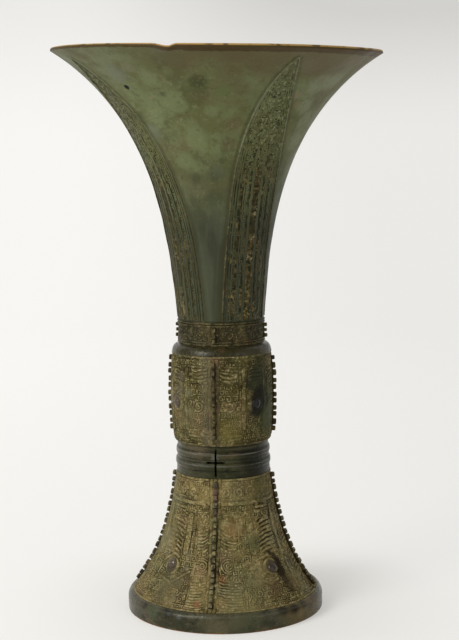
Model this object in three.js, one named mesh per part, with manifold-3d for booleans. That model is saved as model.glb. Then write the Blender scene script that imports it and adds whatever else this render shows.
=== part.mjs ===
// A Chinese bronze gu: a tall wine beaker with a trumpet mouth, a swelling knop and a flared foot.
// Millimetres, +Z up, with the origin at the centre of the face that it stands on.
// The flanges lie on the X and Y axes. The front, with one of the two cross-shaped openings, faces -Y.
// The vessel is made as stacked sections with lapped joints: each has a spigot inside its neighbour's socket.
import * as THREE from "three";
import { mergeVertices } from "three/addons/utils/BufferGeometryUtils.js";
import Module from "manifold-3d";

const wasm = await Module();
wasm.setup();

// Heights of the sections, from the resting face up
const footRingHeight = 9.6;
const footHeight = 60.7;
const stemHeight = 16.2;
const knopHeight = 49.5;
const neckBandHeight = 12;
const trumpetHeight = 132;

// Outer radii
const footHemRadius = 46.8;
const footRingProjection = 3;
const footTopRadius = 23.8;
const stemBottomRadius = 23.6;
const stemTopRadius = 22.8;
const knopRadius = 25.9;
const neckRadius = 21.5;
const mouthRadius = 81.2;
const lipTurnOut = 2;

// Curves of the two flares, as the height over which each one shrinks by a factor of e
const mouthFlareLength = 44.5;
const lipTurnOutLength = 7;
const footFlareLength = 31;

// Walls and joints
const lipWall = 1.6;
const neckWall = 2.6;
const knopWall = 3.5;
const stemWall = 2.8;
const footWall = 2.6;
const footRingWall = 3.6;
const lipHeight = 1.4;
const clearance = 0.3;
const neckSpigot = 2.4;
const stemSpigot = 3;
const footSpigot = 2;

// Knop: a low crown between a sloping shoulder and a bevelled underside
const knopCrown = 0.9;
const knopShoulderHeight = 4.5;
const knopUndersideHeight = 3.8;
const floorThickness = 2.4;
const floorFillet = 3.5;

// Raised strings round the neck band and the stem
const stringHeight = 0.5;
const stringWidth = 1.5;
const neckStringDrops = [1.1, 11.1];
const stemStringDrops = [4.8, 10.4];

// Cross-shaped openings through the front and back of the stem
const crossHeight = 13.8;
const crossWidth = 9;
const crossSlot = 1.1;

// Rising blades on the trumpet, between the flanges
const bladeHalfWidth = 13.2;
const bladeTaperLength = 80;
const bladeTipDrop = 5.5;
const bladeFootRise = 0.4;
const bladeRidgeWidth = 1.3;
const bladeRelief = 0.6;
const bladeTurn = -3;
const frontLeftBladeTurn = -9;
const bladeAzimuths = [45 + bladeTurn, 135 + bladeTurn, 225 + frontLeftBladeTurn, 315 + bladeTurn];

// Notched flanges: teeth stand in pairs, with a slit inside a pair and a wider notch between pairs
const notchFloor = 0.45;
// "start" and "end" are a flange's distances from the lower and the upper edge of its wall.
const neckFlange = {
  thickness: 2,
  height: 1.9,
  tongue: 0.6,
  teeth: 3,
  slit: 0.9,
  notch: 0.9,
  start: 2.2,
  end: 2.6,
};
const knopFlange = {
  thickness: 2.2,
  height: 2.1,
  tongue: 1.2,
  teeth: 11,
  slit: 0.6,
  notch: 1.3,
  start: 0.4,
  end: 2.6,
};
const footFlange = {
  thickness: 2.6,
  height: 2.1,
  tongue: 1,
  teeth: 15,
  slit: 0.6,
  notch: 1.3,
  start: 1.6,
  end: 1.2,
};
const sides = { front: -90, right: 0, back: 90, left: 180 };

// Eyes of the masks: domed bosses, each on a peg in the wall
const eyeRadius = 2.6;
const eyeDome = 1.8;
const pegRadius = 1.1;
const pegLength = 1.3;
const knopEyeHeight = 21;
const footEyeHeights = { left: 18.5, right: 16.3 };
const eyeAzimuths = {
  knop: { left: 49, right: 49 },
  foot: { left: 38, right: 50 },
};

// Facets round the vessel and along its curves
const facets = 40;
const mouthRows = 11;
const boreRows = 7;
const footRows = 7;
const knopRows = 4;
const eyeFacets = 12;
const bladeSteps = 10;

// Levels, worked out from the heights
const footLevel = footRingHeight;
const stemLevel = footLevel + footHeight;
const knopLevel = stemLevel + stemHeight;
const neckLevel = knopLevel + knopHeight;
const trumpetLevel = neckLevel + neckBandHeight;
const mouthLevel = trumpetLevel + trumpetHeight;
const floorLevel = knopLevel + stemSpigot;
const knopBodyTop = neckLevel - knopShoulderHeight;
const knopBodyBottom = knopLevel + knopUndersideHeight;

// Radii at the joints, worked out from the walls: a spigot and its socket share the wall
const neckBore = neckRadius - neckWall;
const neckSpigotRadius = neckBore + (neckWall - clearance) / 2;
const stemBore = stemTopRadius - stemWall;
const stemSpigotRadius = stemBore + (stemWall - clearance) / 2;
const footSocketRadius = stemSpigotRadius + clearance;
const knopBore = knopRadius - knopWall;
const footRingRadius = footHemRadius + footRingProjection;

const green = new THREE.Color(0.2, 0.2, 0.13);
const brown = new THREE.Color(0.23, 0.19, 0.1);
const dark = new THREE.Color(0.09, 0.1, 0.08);

function bronze(color) {
  return new THREE.MeshStandardMaterial({ color, roughness: 0.55, metalness: 0.6 });
}

// Radius of a flare that runs from one radius to another over a height, steepening towards the wide end.
function flare(narrow, wide, length, curve, fromWide) {
  const end = Math.exp(-length / curve);
  return narrow + ((wide - narrow) * (Math.exp(-fromWide / curve) - end)) / (1 - end);
}

// Outer radius of the three decorated walls at a level.
function trumpetRadius(z) {
  const below = mouthLevel - lipHeight - z;
  const wide = mouthRadius - lipTurnOut;
  const throat = flare(neckRadius, wide, trumpetHeight - lipHeight, mouthFlareLength, below);
  return throat + lipTurnOut * Math.exp(-below / lipTurnOutLength);
}

function footRadius(z) {
  return flare(footTopRadius, footHemRadius, footHeight, footFlareLength, z - footLevel);
}

function knopWallRadius(z) {
  const middle = (knopBodyTop + knopBodyBottom) / 2;
  const share = (z - middle) / ((knopBodyTop - knopBodyBottom) / 2);
  return knopRadius - knopCrown * share * share;
}

function bandRadius() {
  return neckRadius;
}

// The point at a level of a wall, and the wall's outward normal there, in the plane of radius and height.
function wallPoint(radiusAt, z) {
  const step = 0.01;
  const slope = (radiusAt(z + step) - radiusAt(z - step)) / (2 * step);
  return { point: new THREE.Vector2(radiusAt(z), z), normal: new THREE.Vector2(1, -slope).normalize() };
}

// The wall's point at a level, moved out by a distance along the normal.
function offsetPoint(radiusAt, z, out) {
  const { point, normal } = wallPoint(radiusAt, z);
  return point.addScaledVector(normal, out);
}

function range(count, from, to, power = 1) {
  return Array.from({ length: count + 1 }, (_, i) => from + (to - from) * (i / count) ** power);
}

// Levels on a wall at given distances along it, measured from one level towards another.
function levelsAlong(radiusAt, from, to, distances) {
  const fine = range(200, from, to);
  const lengths = [0];
  for (let i = 1; i < fine.length; i++) {
    const run = Math.hypot(radiusAt(fine[i]) - radiusAt(fine[i - 1]), fine[i] - fine[i - 1]);
    lengths.push(lengths[i - 1] + run);
  }
  return distances.map((distance) => {
    const wanted = Math.min(distance, lengths.at(-1));
    const i = Math.max(
      lengths.findIndex((length) => length >= wanted),
      1,
    );
    const part = (wanted - lengths[i - 1]) / (lengths[i] - lengths[i - 1]);
    return fine[i - 1] + part * (fine[i] - fine[i - 1]);
  });
}

function wallLength(radiusAt, from, to) {
  const fine = range(200, from, to);
  let length = 0;
  for (let i = 1; i < fine.length; i++) {
    length += Math.hypot(radiusAt(fine[i]) - radiusAt(fine[i - 1]), fine[i] - fine[i - 1]);
  }
  return length;
}

// Solids for cutting and joining, and back to a geometry.
function solid(geometry) {
  const bare = geometry.clone();
  bare.deleteAttribute("normal");
  bare.deleteAttribute("uv");
  const merged = mergeVertices(bare, 1e-4);
  return new wasm.Manifold(
    new wasm.Mesh({
      numProp: 3,
      vertProperties: merged.attributes.position.array,
      triVerts: new Uint32Array(merged.index.array),
    }),
  );
}

function geometryOf(body) {
  const { vertProperties, triVerts } = body.getMesh();
  const geometry = new THREE.BufferGeometry();
  geometry.setAttribute("position", new THREE.BufferAttribute(vertProperties, 3));
  geometry.setIndex(new THREE.BufferAttribute(triVerts, 1));
  geometry.computeVertexNormals();
  return geometry;
}

// A closed profile of [radius, height] points turned round the vessel's axis.
function turned(profile, segments = facets) {
  const points = profile.map((p) => (p.isVector2 ? p : new THREE.Vector2(...p)));
  const closed = points[0].x === 0 ? points : [...points, points[0].clone()];
  return new THREE.LatheGeometry(closed, segments).rotateX(Math.PI / 2);
}

// Points of a raised string round a wall, from below it to above it.
function string(radiusAt, level) {
  const half = stringWidth / 2;
  return [
    [radiusAt(level - half), level - half],
    [radiusAt(level - half / 2) + stringHeight * 0.8, level - half / 2],
    [radiusAt(level + half / 2) + stringHeight * 0.8, level + half / 2],
    [radiusAt(level + half), level + half],
  ];
}

// An outline in the plane of radius and height, given thickness and turned to an azimuth in degrees.
function radialPlate(outline, thickness, azimuth) {
  const plate = new THREE.ExtrudeGeometry(new THREE.Shape(outline), {
    depth: thickness,
    bevelEnabled: false,
    curveSegments: 1,
  });
  plate.translate(0, 0, -thickness / 2);
  plate.rotateX(Math.PI / 2);
  return plate.rotateZ(THREE.MathUtils.degToRad(azimuth));
}

// Where a flange stands: its wall, and the levels of its two ends.
function flangeSeat(form) {
  const walls = new Map([
    [neckFlange, [bandRadius, neckLevel, trumpetLevel]],
    [knopFlange, [knopWallRadius, knopBodyBottom, knopBodyTop]],
    [footFlange, [footRadius, footLevel, stemLevel]],
  ]);
  const [radiusAt, bottom, top] = walls.get(form);
  return { radiusAt, from: bottom + form.start, to: top - form.end };
}

// The toothed outline of a flange, with a tongue that reaches into the wall.
function flangeOutline(form) {
  const { radiusAt, from, to } = flangeSeat(form);
  const gaps = Array.from({ length: form.teeth - 1 }, (_, i) => (i % 2 === 0 ? form.slit : form.notch));
  const total = wallLength(radiusAt, from, to);
  const tooth = (total - gaps.reduce((sum, gap) => sum + gap, 0)) / form.teeth;
  const outline = [];
  let start = 0;
  for (let i = 0; i < form.teeth; i++) {
    const [low, high] = levelsAlong(radiusAt, from, to, [start, start + tooth]);
    outline.push(
      offsetPoint(radiusAt, low, notchFloor),
      offsetPoint(radiusAt, low, form.height),
      offsetPoint(radiusAt, high, form.height),
      offsetPoint(radiusAt, high, notchFloor),
    );
    start += tooth + gaps[i];
  }
  const back = range(Math.ceil(form.teeth / 2), to, from);
  return [...outline, ...back.map((z) => offsetPoint(radiusAt, z, -form.tongue))];
}

function flange(form, azimuth) {
  return radialPlate(flangeOutline(form), form.thickness, azimuth);
}

// The groove that a flange's tongue lies in, clear of it all round.
function flangeGroove(form, azimuth) {
  const { radiusAt, from, to } = flangeSeat(form);
  const levels = range(Math.ceil(form.teeth / 2), from - clearance, to + clearance);
  const outer = levels.map((z) => offsetPoint(radiusAt, z, form.height));
  const inner = levels.map((z) => offsetPoint(radiusAt, z, -form.tongue - clearance)).reverse();
  return solid(radialPlate([...outer, ...inner], form.thickness + 2 * clearance, azimuth));
}

function withGrooves(body, form) {
  return Object.values(sides).reduce((left, azimuth) => left.subtract(flangeGroove(form, azimuth)), body);
}

// The four eyes on a wall: each one's azimuth, level and wall.
function eyeSeats(register) {
  const radiusAt = register === "knop" ? knopWallRadius : footRadius;
  const base = register === "knop" ? knopLevel : footLevel;
  const seats = {};
  for (const [face, centre] of [
    ["front", sides.front],
    ["back", sides.back],
  ]) {
    for (const [hand, turn] of [
      ["left", -1],
      ["right", 1],
    ]) {
      const rise = register === "knop" ? knopEyeHeight : footEyeHeights[hand];
      const azimuth = centre + turn * eyeAzimuths[register][hand];
      seats[`${face}_${hand}`] = { azimuth, z: base + rise, radiusAt };
    }
  }
  return seats;
}

// Places a piece that stands along +Z on a wall, square to it.
function onWall(geometry, { azimuth, z, radiusAt }, out) {
  const { point, normal } = wallPoint(radiusAt, z);
  const turn = THREE.MathUtils.degToRad(azimuth);
  const radial = new THREE.Vector3(Math.cos(turn), Math.sin(turn), 0);
  const direction = radial.clone().multiplyScalar(normal.x).setZ(normal.y);
  const place = radial.multiplyScalar(point.x).setZ(point.y).addScaledVector(direction, out);
  const tilt = new THREE.Quaternion().setFromUnitVectors(new THREE.Vector3(0, 0, 1), direction);
  return geometry.applyQuaternion(tilt).translate(place.x, place.y, place.z);
}

function eye(seat) {
  const dome = range(3, 0, Math.PI / 2).map((a) => [eyeRadius * Math.cos(a), eyeDome * Math.sin(a)]);
  dome[dome.length - 1][0] = 0;
  const profile = [[0, -pegLength], [pegRadius, -pegLength], [pegRadius, 0], ...dome];
  return onWall(turned(profile, eyeFacets), seat, clearance);
}

function withPegHoles(body, register) {
  return Object.values(eyeSeats(register)).reduce((left, seat) => {
    const radius = pegRadius + clearance;
    const depth = pegLength + clearance;
    const hole = turned([[0, -depth], [radius, -depth], [radius, 1], [0, 1]], eyeFacets);
    return left.subtract(solid(onWall(hole, seat, clearance)));
  }, body);
}

// The half width of a blade, measured round the wall, at a distance along the wall from its tip.
function bladeHalf(fromTip, inset) {
  const share = Math.min(Math.max((fromTip - inset) / bladeTaperLength, 0), 1);
  return Math.max((bladeHalfWidth - inset) * (1 - (1 - share) ** 2) ** 0.85, 0);
}

// A blade's outline seen from straight in front of it, as x across the blade against height.
function bladeOutline(inset) {
  const tip = mouthLevel - bladeTipDrop;
  const base = trumpetLevel + bladeFootRise + inset / 2;
  const length = wallLength(trumpetRadius, tip, base);
  const distances = range(bladeSteps, inset, length, 1.5);
  const levels = levelsAlong(trumpetRadius, tip, base, distances);
  const edge = levels.map((z, i) => {
    const radius = trumpetRadius(z);
    return new THREE.Vector2(radius * Math.sin(bladeHalf(distances[i], inset) / radius), z);
  });
  const mirrored = edge.slice(1).map((p) => new THREE.Vector2(-p.x, p.y));
  return [...edge, ...mirrored.reverse()];
}

function bladePrism(inset, azimuth) {
  const shape = new THREE.Shape(bladeOutline(inset));
  const prism = new THREE.ExtrudeGeometry(shape, { depth: mouthRadius, bevelEnabled: false });
  return solid(prism.rotateX(Math.PI / 2).rotateZ(THREE.MathUtils.degToRad(azimuth + 90)));
}

// A raised line along a blade's edge.
function bladeRidge(azimuth) {
  return bladePrism(0, azimuth).subtract(bladePrism(bladeRidgeWidth, azimuth));
}

// A thin skin over the trumpet's wall, from inside it to the height of the blades' relief.
function bladeSkin() {
  const levels = range(mouthRows, trumpetLevel, mouthLevel - lipHeight, 0.7);
  const outer = levels.map((z) => offsetPoint(trumpetRadius, z, bladeRelief));
  const inner = levels.map((z) => offsetPoint(trumpetRadius, z, -lipWall / 2)).reverse();
  return solid(turned([...outer, ...inner]));
}

function trumpet() {
  const top = mouthLevel - lipHeight;
  const outer = range(mouthRows, trumpetLevel, top, 0.7).map((z) => [trumpetRadius(z), z]);
  const inner = range(boreRows, trumpetLevel, top, 0.7).map((z) => {
    const wall = neckWall + ((lipWall - neckWall) * (z - trumpetLevel)) / (top - trumpetLevel);
    return offsetPoint(trumpetRadius, z, -wall);
  });
  inner.at(-1).y = mouthLevel;
  inner[0].set(neckBore, trumpetLevel);
  const body = solid(
    turned([
      [neckBore, trumpetLevel - neckSpigot],
      [neckSpigotRadius, trumpetLevel - neckSpigot],
      [neckSpigotRadius, trumpetLevel],
      ...outer,
      [mouthRadius, mouthLevel],
      ...inner.reverse(),
    ]),
  );
  const skin = bladeSkin();
  return bladeAzimuths.reduce((left, azimuth) => left.add(bladeRidge(azimuth).intersect(skin)), body);
}

function neckBand() {
  const [upper, lower] = neckStringDrops.map((drop) => trumpetLevel - drop);
  const body = solid(
    turned([
      [neckBore, neckLevel - neckSpigot],
      [neckSpigotRadius, neckLevel - neckSpigot],
      [neckSpigotRadius, neckLevel],
      [neckRadius, neckLevel],
      ...string(bandRadius, lower),
      ...string(bandRadius, upper),
      [neckRadius, trumpetLevel],
      [neckSpigotRadius + clearance, trumpetLevel],
      [neckSpigotRadius + clearance, trumpetLevel - neckSpigot - clearance],
      [neckBore, trumpetLevel - neckSpigot - clearance],
    ]),
  );
  return withGrooves(body, neckFlange);
}

function knop() {
  const wall = range(knopRows, knopBodyBottom, knopBodyTop).map((z) => [knopWallRadius(z), z]);
  const body = solid(
    turned([
      [footSocketRadius, knopLevel],
      [stemTopRadius, knopLevel],
      ...wall,
      [neckRadius, neckLevel],
      [neckSpigotRadius + clearance, neckLevel],
      [neckSpigotRadius + clearance, neckLevel - neckSpigot - clearance],
      [neckBore, neckLevel - neckSpigot - clearance],
      [neckBore, neckLevel - knopShoulderHeight],
      [knopBore, knopBodyTop - knopShoulderHeight],
      [knopBore, floorLevel],
      [footSocketRadius, floorLevel],
    ]),
  );
  return withPegHoles(withGrooves(body, knopFlange), "knop");
}

// The bottom of the cup: a dished disc that lies on the knop's ledge and the stem's upper spigot.
function bowlFloor() {
  const edge = knopBore - clearance;
  const hollow = range(3, 0, Math.PI / 2).map((a) => [
    edge - 1 - floorFillet * Math.sin(a) * 2,
    floorLevel + floorThickness + floorFillet * (1 - Math.sin(a)),
  ]);
  return turned([
    [0, floorLevel],
    [edge, floorLevel],
    [edge, floorLevel + floorThickness + floorFillet],
    ...hollow,
    [0, floorLevel + floorThickness],
  ]);
}

function stemRadius(z) {
  return stemBottomRadius + ((stemTopRadius - stemBottomRadius) * (z - stemLevel)) / stemHeight;
}

function stem() {
  const [upper, lower] = stemStringDrops.map((drop) => knopLevel - drop);
  const body = solid(
    turned([
      [stemBore, stemLevel - stemSpigot],
      [stemSpigotRadius, stemLevel - stemSpigot],
      [stemSpigotRadius, stemLevel],
      [stemBottomRadius, stemLevel],
      ...string(stemRadius, lower),
      ...string(stemRadius, upper),
      [stemTopRadius, knopLevel],
      [stemSpigotRadius, knopLevel],
      [stemSpigotRadius, floorLevel],
      [stemBore, floorLevel],
    ]),
  );
  const through = 3 * stemBottomRadius;
  const middle = (stemLevel + knopLevel) / 2;
  const upright = solid(new THREE.BoxGeometry(crossSlot, through, crossHeight).translate(0, 0, middle));
  const level = solid(new THREE.BoxGeometry(crossWidth, through, crossSlot).translate(0, 0, middle));
  return body.subtract(upright).subtract(level);
}

function foot() {
  const levels = range(footRows, footLevel, stemLevel, 1.3);
  const outer = levels.map((z) => [footRadius(z), z]);
  const bore = range(footRows, footLevel, stemLevel - stemSpigot - clearance, 1.3);
  const inner = bore.map((z) => offsetPoint(footRadius, z, -footWall));
  inner[0].y = footLevel;
  inner.at(-1).set(footSocketRadius, stemLevel - stemSpigot - clearance);
  const body = solid(
    turned([
      [inner[0].x, footLevel - footSpigot],
      [footSpigotRadius(), footLevel - footSpigot],
      [footSpigotRadius(), footLevel],
      ...outer,
      [footSocketRadius, stemLevel],
      ...inner.reverse(),
    ]),
  );
  return withPegHoles(withGrooves(body, footFlange), "foot");
}

function footHemBore() {
  return offsetPoint(footRadius, footLevel, -footWall).x;
}

function footSpigotRadius() {
  return footHemBore() + (footHemRadius - footHemBore() - clearance) / 2;
}

function footRing() {
  const socket = footSpigotRadius() + clearance;
  const ledge = footLevel - footSpigot - clearance;
  const shoulder = footRingHeight * 0.55;
  const round = range(3, 0, Math.PI / 2).map((a) => [
    footHemRadius + clearance + (footRingRadius - footHemRadius - clearance) * Math.cos(a),
    shoulder + (footRingHeight - shoulder) * Math.sin(a),
  ]);
  return turned([
    [footRingRadius - footRingWall, 0],
    [footRingRadius - 0.5, 0],
    [footRingRadius, 0.5],
    ...round,
    [socket, footLevel],
    [socket, ledge],
    [footHemBore() + clearance, ledge],
    [footHemBore() + clearance, ledge - 1.2],
    [footRingRadius - footRingWall, ledge - 3],
  ]);
}

const vessel = new THREE.Group();

function add(name, shape, color) {
  const geometry = shape.isBufferGeometry ? shape : geometryOf(shape);
  const mesh = new THREE.Mesh(geometry, bronze(color));
  mesh.name = name;
  vessel.add(mesh);
}

add("trumpet", trumpet(), green);
add("neck_band", neckBand(), brown);
add("knop", knop(), brown);
add("bowl_floor", bowlFloor(), green);
add("stem", stem(), dark);
add("foot", foot(), brown);
add("foot_ring", footRing(), dark);

for (const [side, azimuth] of Object.entries(sides)) {
  add(`neck_flange_${side}`, flange(neckFlange, azimuth), dark);
  add(`knop_flange_${side}`, flange(knopFlange, azimuth), brown);
  add(`foot_flange_${side}`, flange(footFlange, azimuth), brown);
}

for (const register of ["knop", "foot"]) {
  for (const [place, seat] of Object.entries(eyeSeats(register))) {
    add(`${register}_eye_${place}`, eye(seat), dark);
  }
}

export default vessel;
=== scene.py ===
"""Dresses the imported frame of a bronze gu, a tall beaker with a trumpet mouth, a knop and a flared foot.

Lengths are in metres unless a name ends in _mm. The vessel's axis is Z, and its front flange faces -Y.
"""

import math

import bmesh
import bpy
import numpy as np
from mathutils import Matrix, Vector


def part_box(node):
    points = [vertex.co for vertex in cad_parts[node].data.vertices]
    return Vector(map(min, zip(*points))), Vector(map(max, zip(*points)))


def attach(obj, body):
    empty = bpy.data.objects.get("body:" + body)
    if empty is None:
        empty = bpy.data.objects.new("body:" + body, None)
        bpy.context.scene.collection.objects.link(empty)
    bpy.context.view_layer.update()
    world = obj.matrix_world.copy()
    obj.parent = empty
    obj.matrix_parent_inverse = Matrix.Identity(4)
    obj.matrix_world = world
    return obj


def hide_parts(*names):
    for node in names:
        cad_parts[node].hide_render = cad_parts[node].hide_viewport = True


bl_info = {
    "name": "Bronze gu",
    "version": (1, 0, 0),
    "blender": (4, 5, 0),
    "location": "View3D > Sidebar > Gu",
    "description": "Builds the relief, flanges and patina of a bronze gu round its frame",
    "category": "Object",
}

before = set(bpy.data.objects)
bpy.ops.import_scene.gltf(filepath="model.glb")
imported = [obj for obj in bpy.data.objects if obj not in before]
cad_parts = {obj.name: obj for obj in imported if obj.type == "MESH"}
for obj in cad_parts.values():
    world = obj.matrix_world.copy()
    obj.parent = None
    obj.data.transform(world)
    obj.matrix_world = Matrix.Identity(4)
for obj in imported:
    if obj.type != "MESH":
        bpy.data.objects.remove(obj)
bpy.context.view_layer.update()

MM = 0.001
SIDES = {"front": -90, "right": 0, "back": 90, "left": 180}
QUARTERS = {"front_right": -90, "back_right": 0, "back_left": 90, "front_left": 180}

# Levels and radii that the frame gives
FOOT_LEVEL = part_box("foot_ring")[1].z
STEM_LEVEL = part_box("foot")[1].z
KNOP_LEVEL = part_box("knop")[0].z
NECK_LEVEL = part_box("knop")[1].z
TRUMPET_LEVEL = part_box("neck_band")[1].z
MOUTH_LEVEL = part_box("trumpet")[1].z
MOUTH_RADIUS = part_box("trumpet")[1].x
KNOP_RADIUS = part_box("knop")[1].x
RING_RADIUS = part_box("foot_ring")[1].x
FLOOR_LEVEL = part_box("bowl_floor")[0].z

# The walls' other sizes, as the frame's solids have them
NECK_RADIUS = 21.5 * MM
LIP_TURN_OUT = 2 * MM
LIP_TURN_OUT_LENGTH = 7 * MM
LIP_HEIGHT = 1.4 * MM
MOUTH_FLARE_LENGTH = 44.5 * MM
FOOT_HEM_RADIUS = 46.8 * MM
FOOT_TOP_RADIUS = 23.8 * MM
FOOT_FLARE_LENGTH = 31 * MM
STEM_BOTTOM_RADIUS = 23.6 * MM
STEM_TOP_RADIUS = 22.8 * MM
KNOP_CROWN = 0.9 * MM
KNOP_SHOULDER = 4.5 * MM
KNOP_UNDERSIDE = 3.8 * MM
KNOP_ROUNDING = 1.7 * MM
LIP_WALL = 1.6 * MM
NECK_WALL = 2.6 * MM
KNOP_WALL = 3.5 * MM
STEM_WALL = 2.8 * MM
FOOT_WALL = 2.6 * MM
RING_WALL = 3.6 * MM
KNOP_BODY_LOW = KNOP_LEVEL + KNOP_UNDERSIDE
KNOP_BODY_HIGH = NECK_LEVEL - KNOP_SHOULDER

# The lapped joints: half of the wall is a spigot in the neighbour's socket
NECK_SPIGOT = 1.1 * MM
NECK_SOCKET = 1.5 * MM
SOCKET_DEPTH = 2.7 * MM
STEM_SPIGOT = 1.25 * MM
STEM_SOCKET = STEM_TOP_RADIUS - STEM_WALL / 2 + 0.2 * MM

# The flanges' thickness in mm, a little less than the solids'
FLANGE_THICKNESS = {"neck": 1.5, "knop": 1.4, "foot": 1.8}

# Faults of the casting: the slope of the mouth, the height of the lip's waves, and the depth of the lip's
# nick with its turn from the camera's side in degrees
MOUTH_LEAN = 0.0216
LIP_WAVE = 0.22 * MM
NICK_DEPTH = 1.1 * MM
NICK_TURN = -16

# Turn of the camera from the front flange, in degrees
FRONT_TO_CAMERA = 9.5


def flare(narrow, wide, length, curve, from_wide):
    """Radius of a flared wall at a distance from its wide end."""
    end = math.exp(-length / curve)
    return narrow + (wide - narrow) * (np.exp(-from_wide / curve) - end) / (1 - end)


def trumpet_radius(z):
    below = MOUTH_LEVEL - LIP_HEIGHT - z
    length = MOUTH_LEVEL - LIP_HEIGHT - TRUMPET_LEVEL
    throat = flare(NECK_RADIUS, MOUTH_RADIUS - LIP_TURN_OUT, length, MOUTH_FLARE_LENGTH, below)
    return throat + LIP_TURN_OUT * np.exp(-below / LIP_TURN_OUT_LENGTH)


def neck_radius(z):
    return NECK_RADIUS + 0 * z


def ring_radius(z):
    return RING_RADIUS + 0 * z


def foot_radius(z):
    length = STEM_LEVEL - FOOT_LEVEL
    return flare(FOOT_TOP_RADIUS, FOOT_HEM_RADIUS, length, FOOT_FLARE_LENGTH, z - FOOT_LEVEL)


def knop_radius(z):
    middle = (KNOP_BODY_HIGH + KNOP_BODY_LOW) / 2
    share = (z - middle) / ((KNOP_BODY_HIGH - KNOP_BODY_LOW) / 2)
    below = np.clip((KNOP_BODY_LOW - z) / KNOP_UNDERSIDE, 0, 0.97)
    rounding = KNOP_ROUNDING * (1 - np.sqrt(1 - below * below))
    return KNOP_RADIUS - KNOP_CROWN * np.minimum(share * share, 1) - rounding


def stem_radius(z):
    share = (z - STEM_LEVEL) / (KNOP_LEVEL - STEM_LEVEL)
    return STEM_BOTTOM_RADIUS + (STEM_TOP_RADIUS - STEM_BOTTOM_RADIUS) * share


class Wall:
    """The outer face of a section: a surface of revolution between two levels."""

    def __init__(self, radius_at, low, high):
        self.radius_at = radius_at
        self.low = low
        self.high = high
        self.levels = np.linspace(low, high, 400)
        steps = np.hypot(np.diff(radius_at(self.levels)), np.diff(self.levels))
        self.runs = np.concatenate([[0], np.cumsum(steps)])

    def run(self, z):
        """Distance along the wall from its lower edge."""
        return np.interp(z, self.levels, self.runs)

    def level(self, run):
        return np.interp(run, self.runs, self.levels)

    def slope(self, z):
        step = 0.01 * MM
        return (self.radius_at(z + step) - self.radius_at(z - step)) / (2 * step)

    def offset(self, z, out):
        """Radius and level of the point that stands out from the wall by a distance."""
        slope = self.slope(z)
        scale = out / np.sqrt(1 + slope * slope)
        return self.radius_at(z) + scale, z - slope * scale

    def even_levels(self, spacing):
        count = max(2, round(self.runs[-1] / spacing))
        return self.level(np.linspace(0, self.runs[-1], count + 1))


TRUMPET = Wall(trumpet_radius, TRUMPET_LEVEL, MOUTH_LEVEL - LIP_HEIGHT)
NECK = Wall(neck_radius, NECK_LEVEL, TRUMPET_LEVEL)
KNOP = Wall(knop_radius, KNOP_LEVEL + 0.4 * MM, KNOP_BODY_HIGH)
STEM = Wall(stem_radius, STEM_LEVEL, KNOP_LEVEL)
FOOT = Wall(foot_radius, FOOT_LEVEL, STEM_LEVEL)
RING = Wall(ring_radius, 0, FOOT_LEVEL)


def front_point(wall, turn, z):
    """A point on a wall, turned by degrees from the front flange."""
    radius = float(wall.radius_at(z))
    angle = math.radians(-90 + turn)
    return (radius * math.cos(angle), radius * math.sin(angle), z)


def spots_at(wall, low, patches):
    """Stains on a wall, in the form that a material takes.

    A patch is its turn from the front flange in degrees, its level over low, its size and its softness in mm,
    its share and its tint.
    """
    spots = []
    for turn, level, size, soft, share, tint in patches:
        spots.append((front_point(wall, turn, low + level * MM), size * MM, soft * MM, share, tint))
    return spots


def finish_piece(obj, material, node):
    """Gives a piece its material and lets it stand for a node of the frame."""
    obj.data.materials.clear()
    obj.data.materials.append(material)
    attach(obj, "root")
    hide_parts(node)


def object_from(bm, name):
    mesh = bpy.data.meshes.new(name)
    bm.to_mesh(mesh)
    bm.free()
    mesh.shade_smooth()
    obj = bpy.data.objects.new(name, mesh)
    bpy.context.scene.collection.objects.link(obj)
    return obj


def points_of(mesh):
    flat = np.zeros(len(mesh.vertices) * 3)
    mesh.vertices.foreach_get("co", flat)
    return flat.reshape(-1, 3)


def set_points(mesh, points):
    mesh.vertices.foreach_set("co", points.astype(np.float32).ravel())
    mesh.update()


def set_attribute(mesh, name, values):
    attribute = mesh.attributes.new(name, "FLOAT", "POINT")
    attribute.data.foreach_set("value", np.asarray(values, np.float32))


def revolve(name, profile, steps, start=0.0, turn=360.0):
    """A closed profile of (radius, level) points turned about the axis. Ends that don't meet are capped."""
    bm = bmesh.new()
    angle = math.radians(start)
    verts = [bm.verts.new((r * math.cos(angle), r * math.sin(angle), z)) for r, z in profile]
    edges = [bm.edges.new((a, b)) for a, b in zip(verts, verts[1:] + verts[:1])]
    full = turn >= 360
    spun = bmesh.ops.spin(
        bm,
        geom=verts + edges,
        cent=(0, 0, 0),
        axis=(0, 0, 1),
        angle=math.radians(turn),
        steps=steps,
        use_merge=full,
    )
    if not full:
        last = [e for e in spun["geom_last"] if isinstance(e, bmesh.types.BMEdge)]
        bmesh.ops.contextual_create(bm, geom=edges)
        bmesh.ops.contextual_create(bm, geom=last)
    bmesh.ops.remove_doubles(bm, verts=bm.verts, dist=1e-7)
    bmesh.ops.recalc_face_normals(bm, faces=bm.faces)
    return object_from(bm, name)


def outer_profile(wall, spacing):
    return [(float(wall.radius_at(z)), float(z)) for z in wall.even_levels(spacing)]


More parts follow.
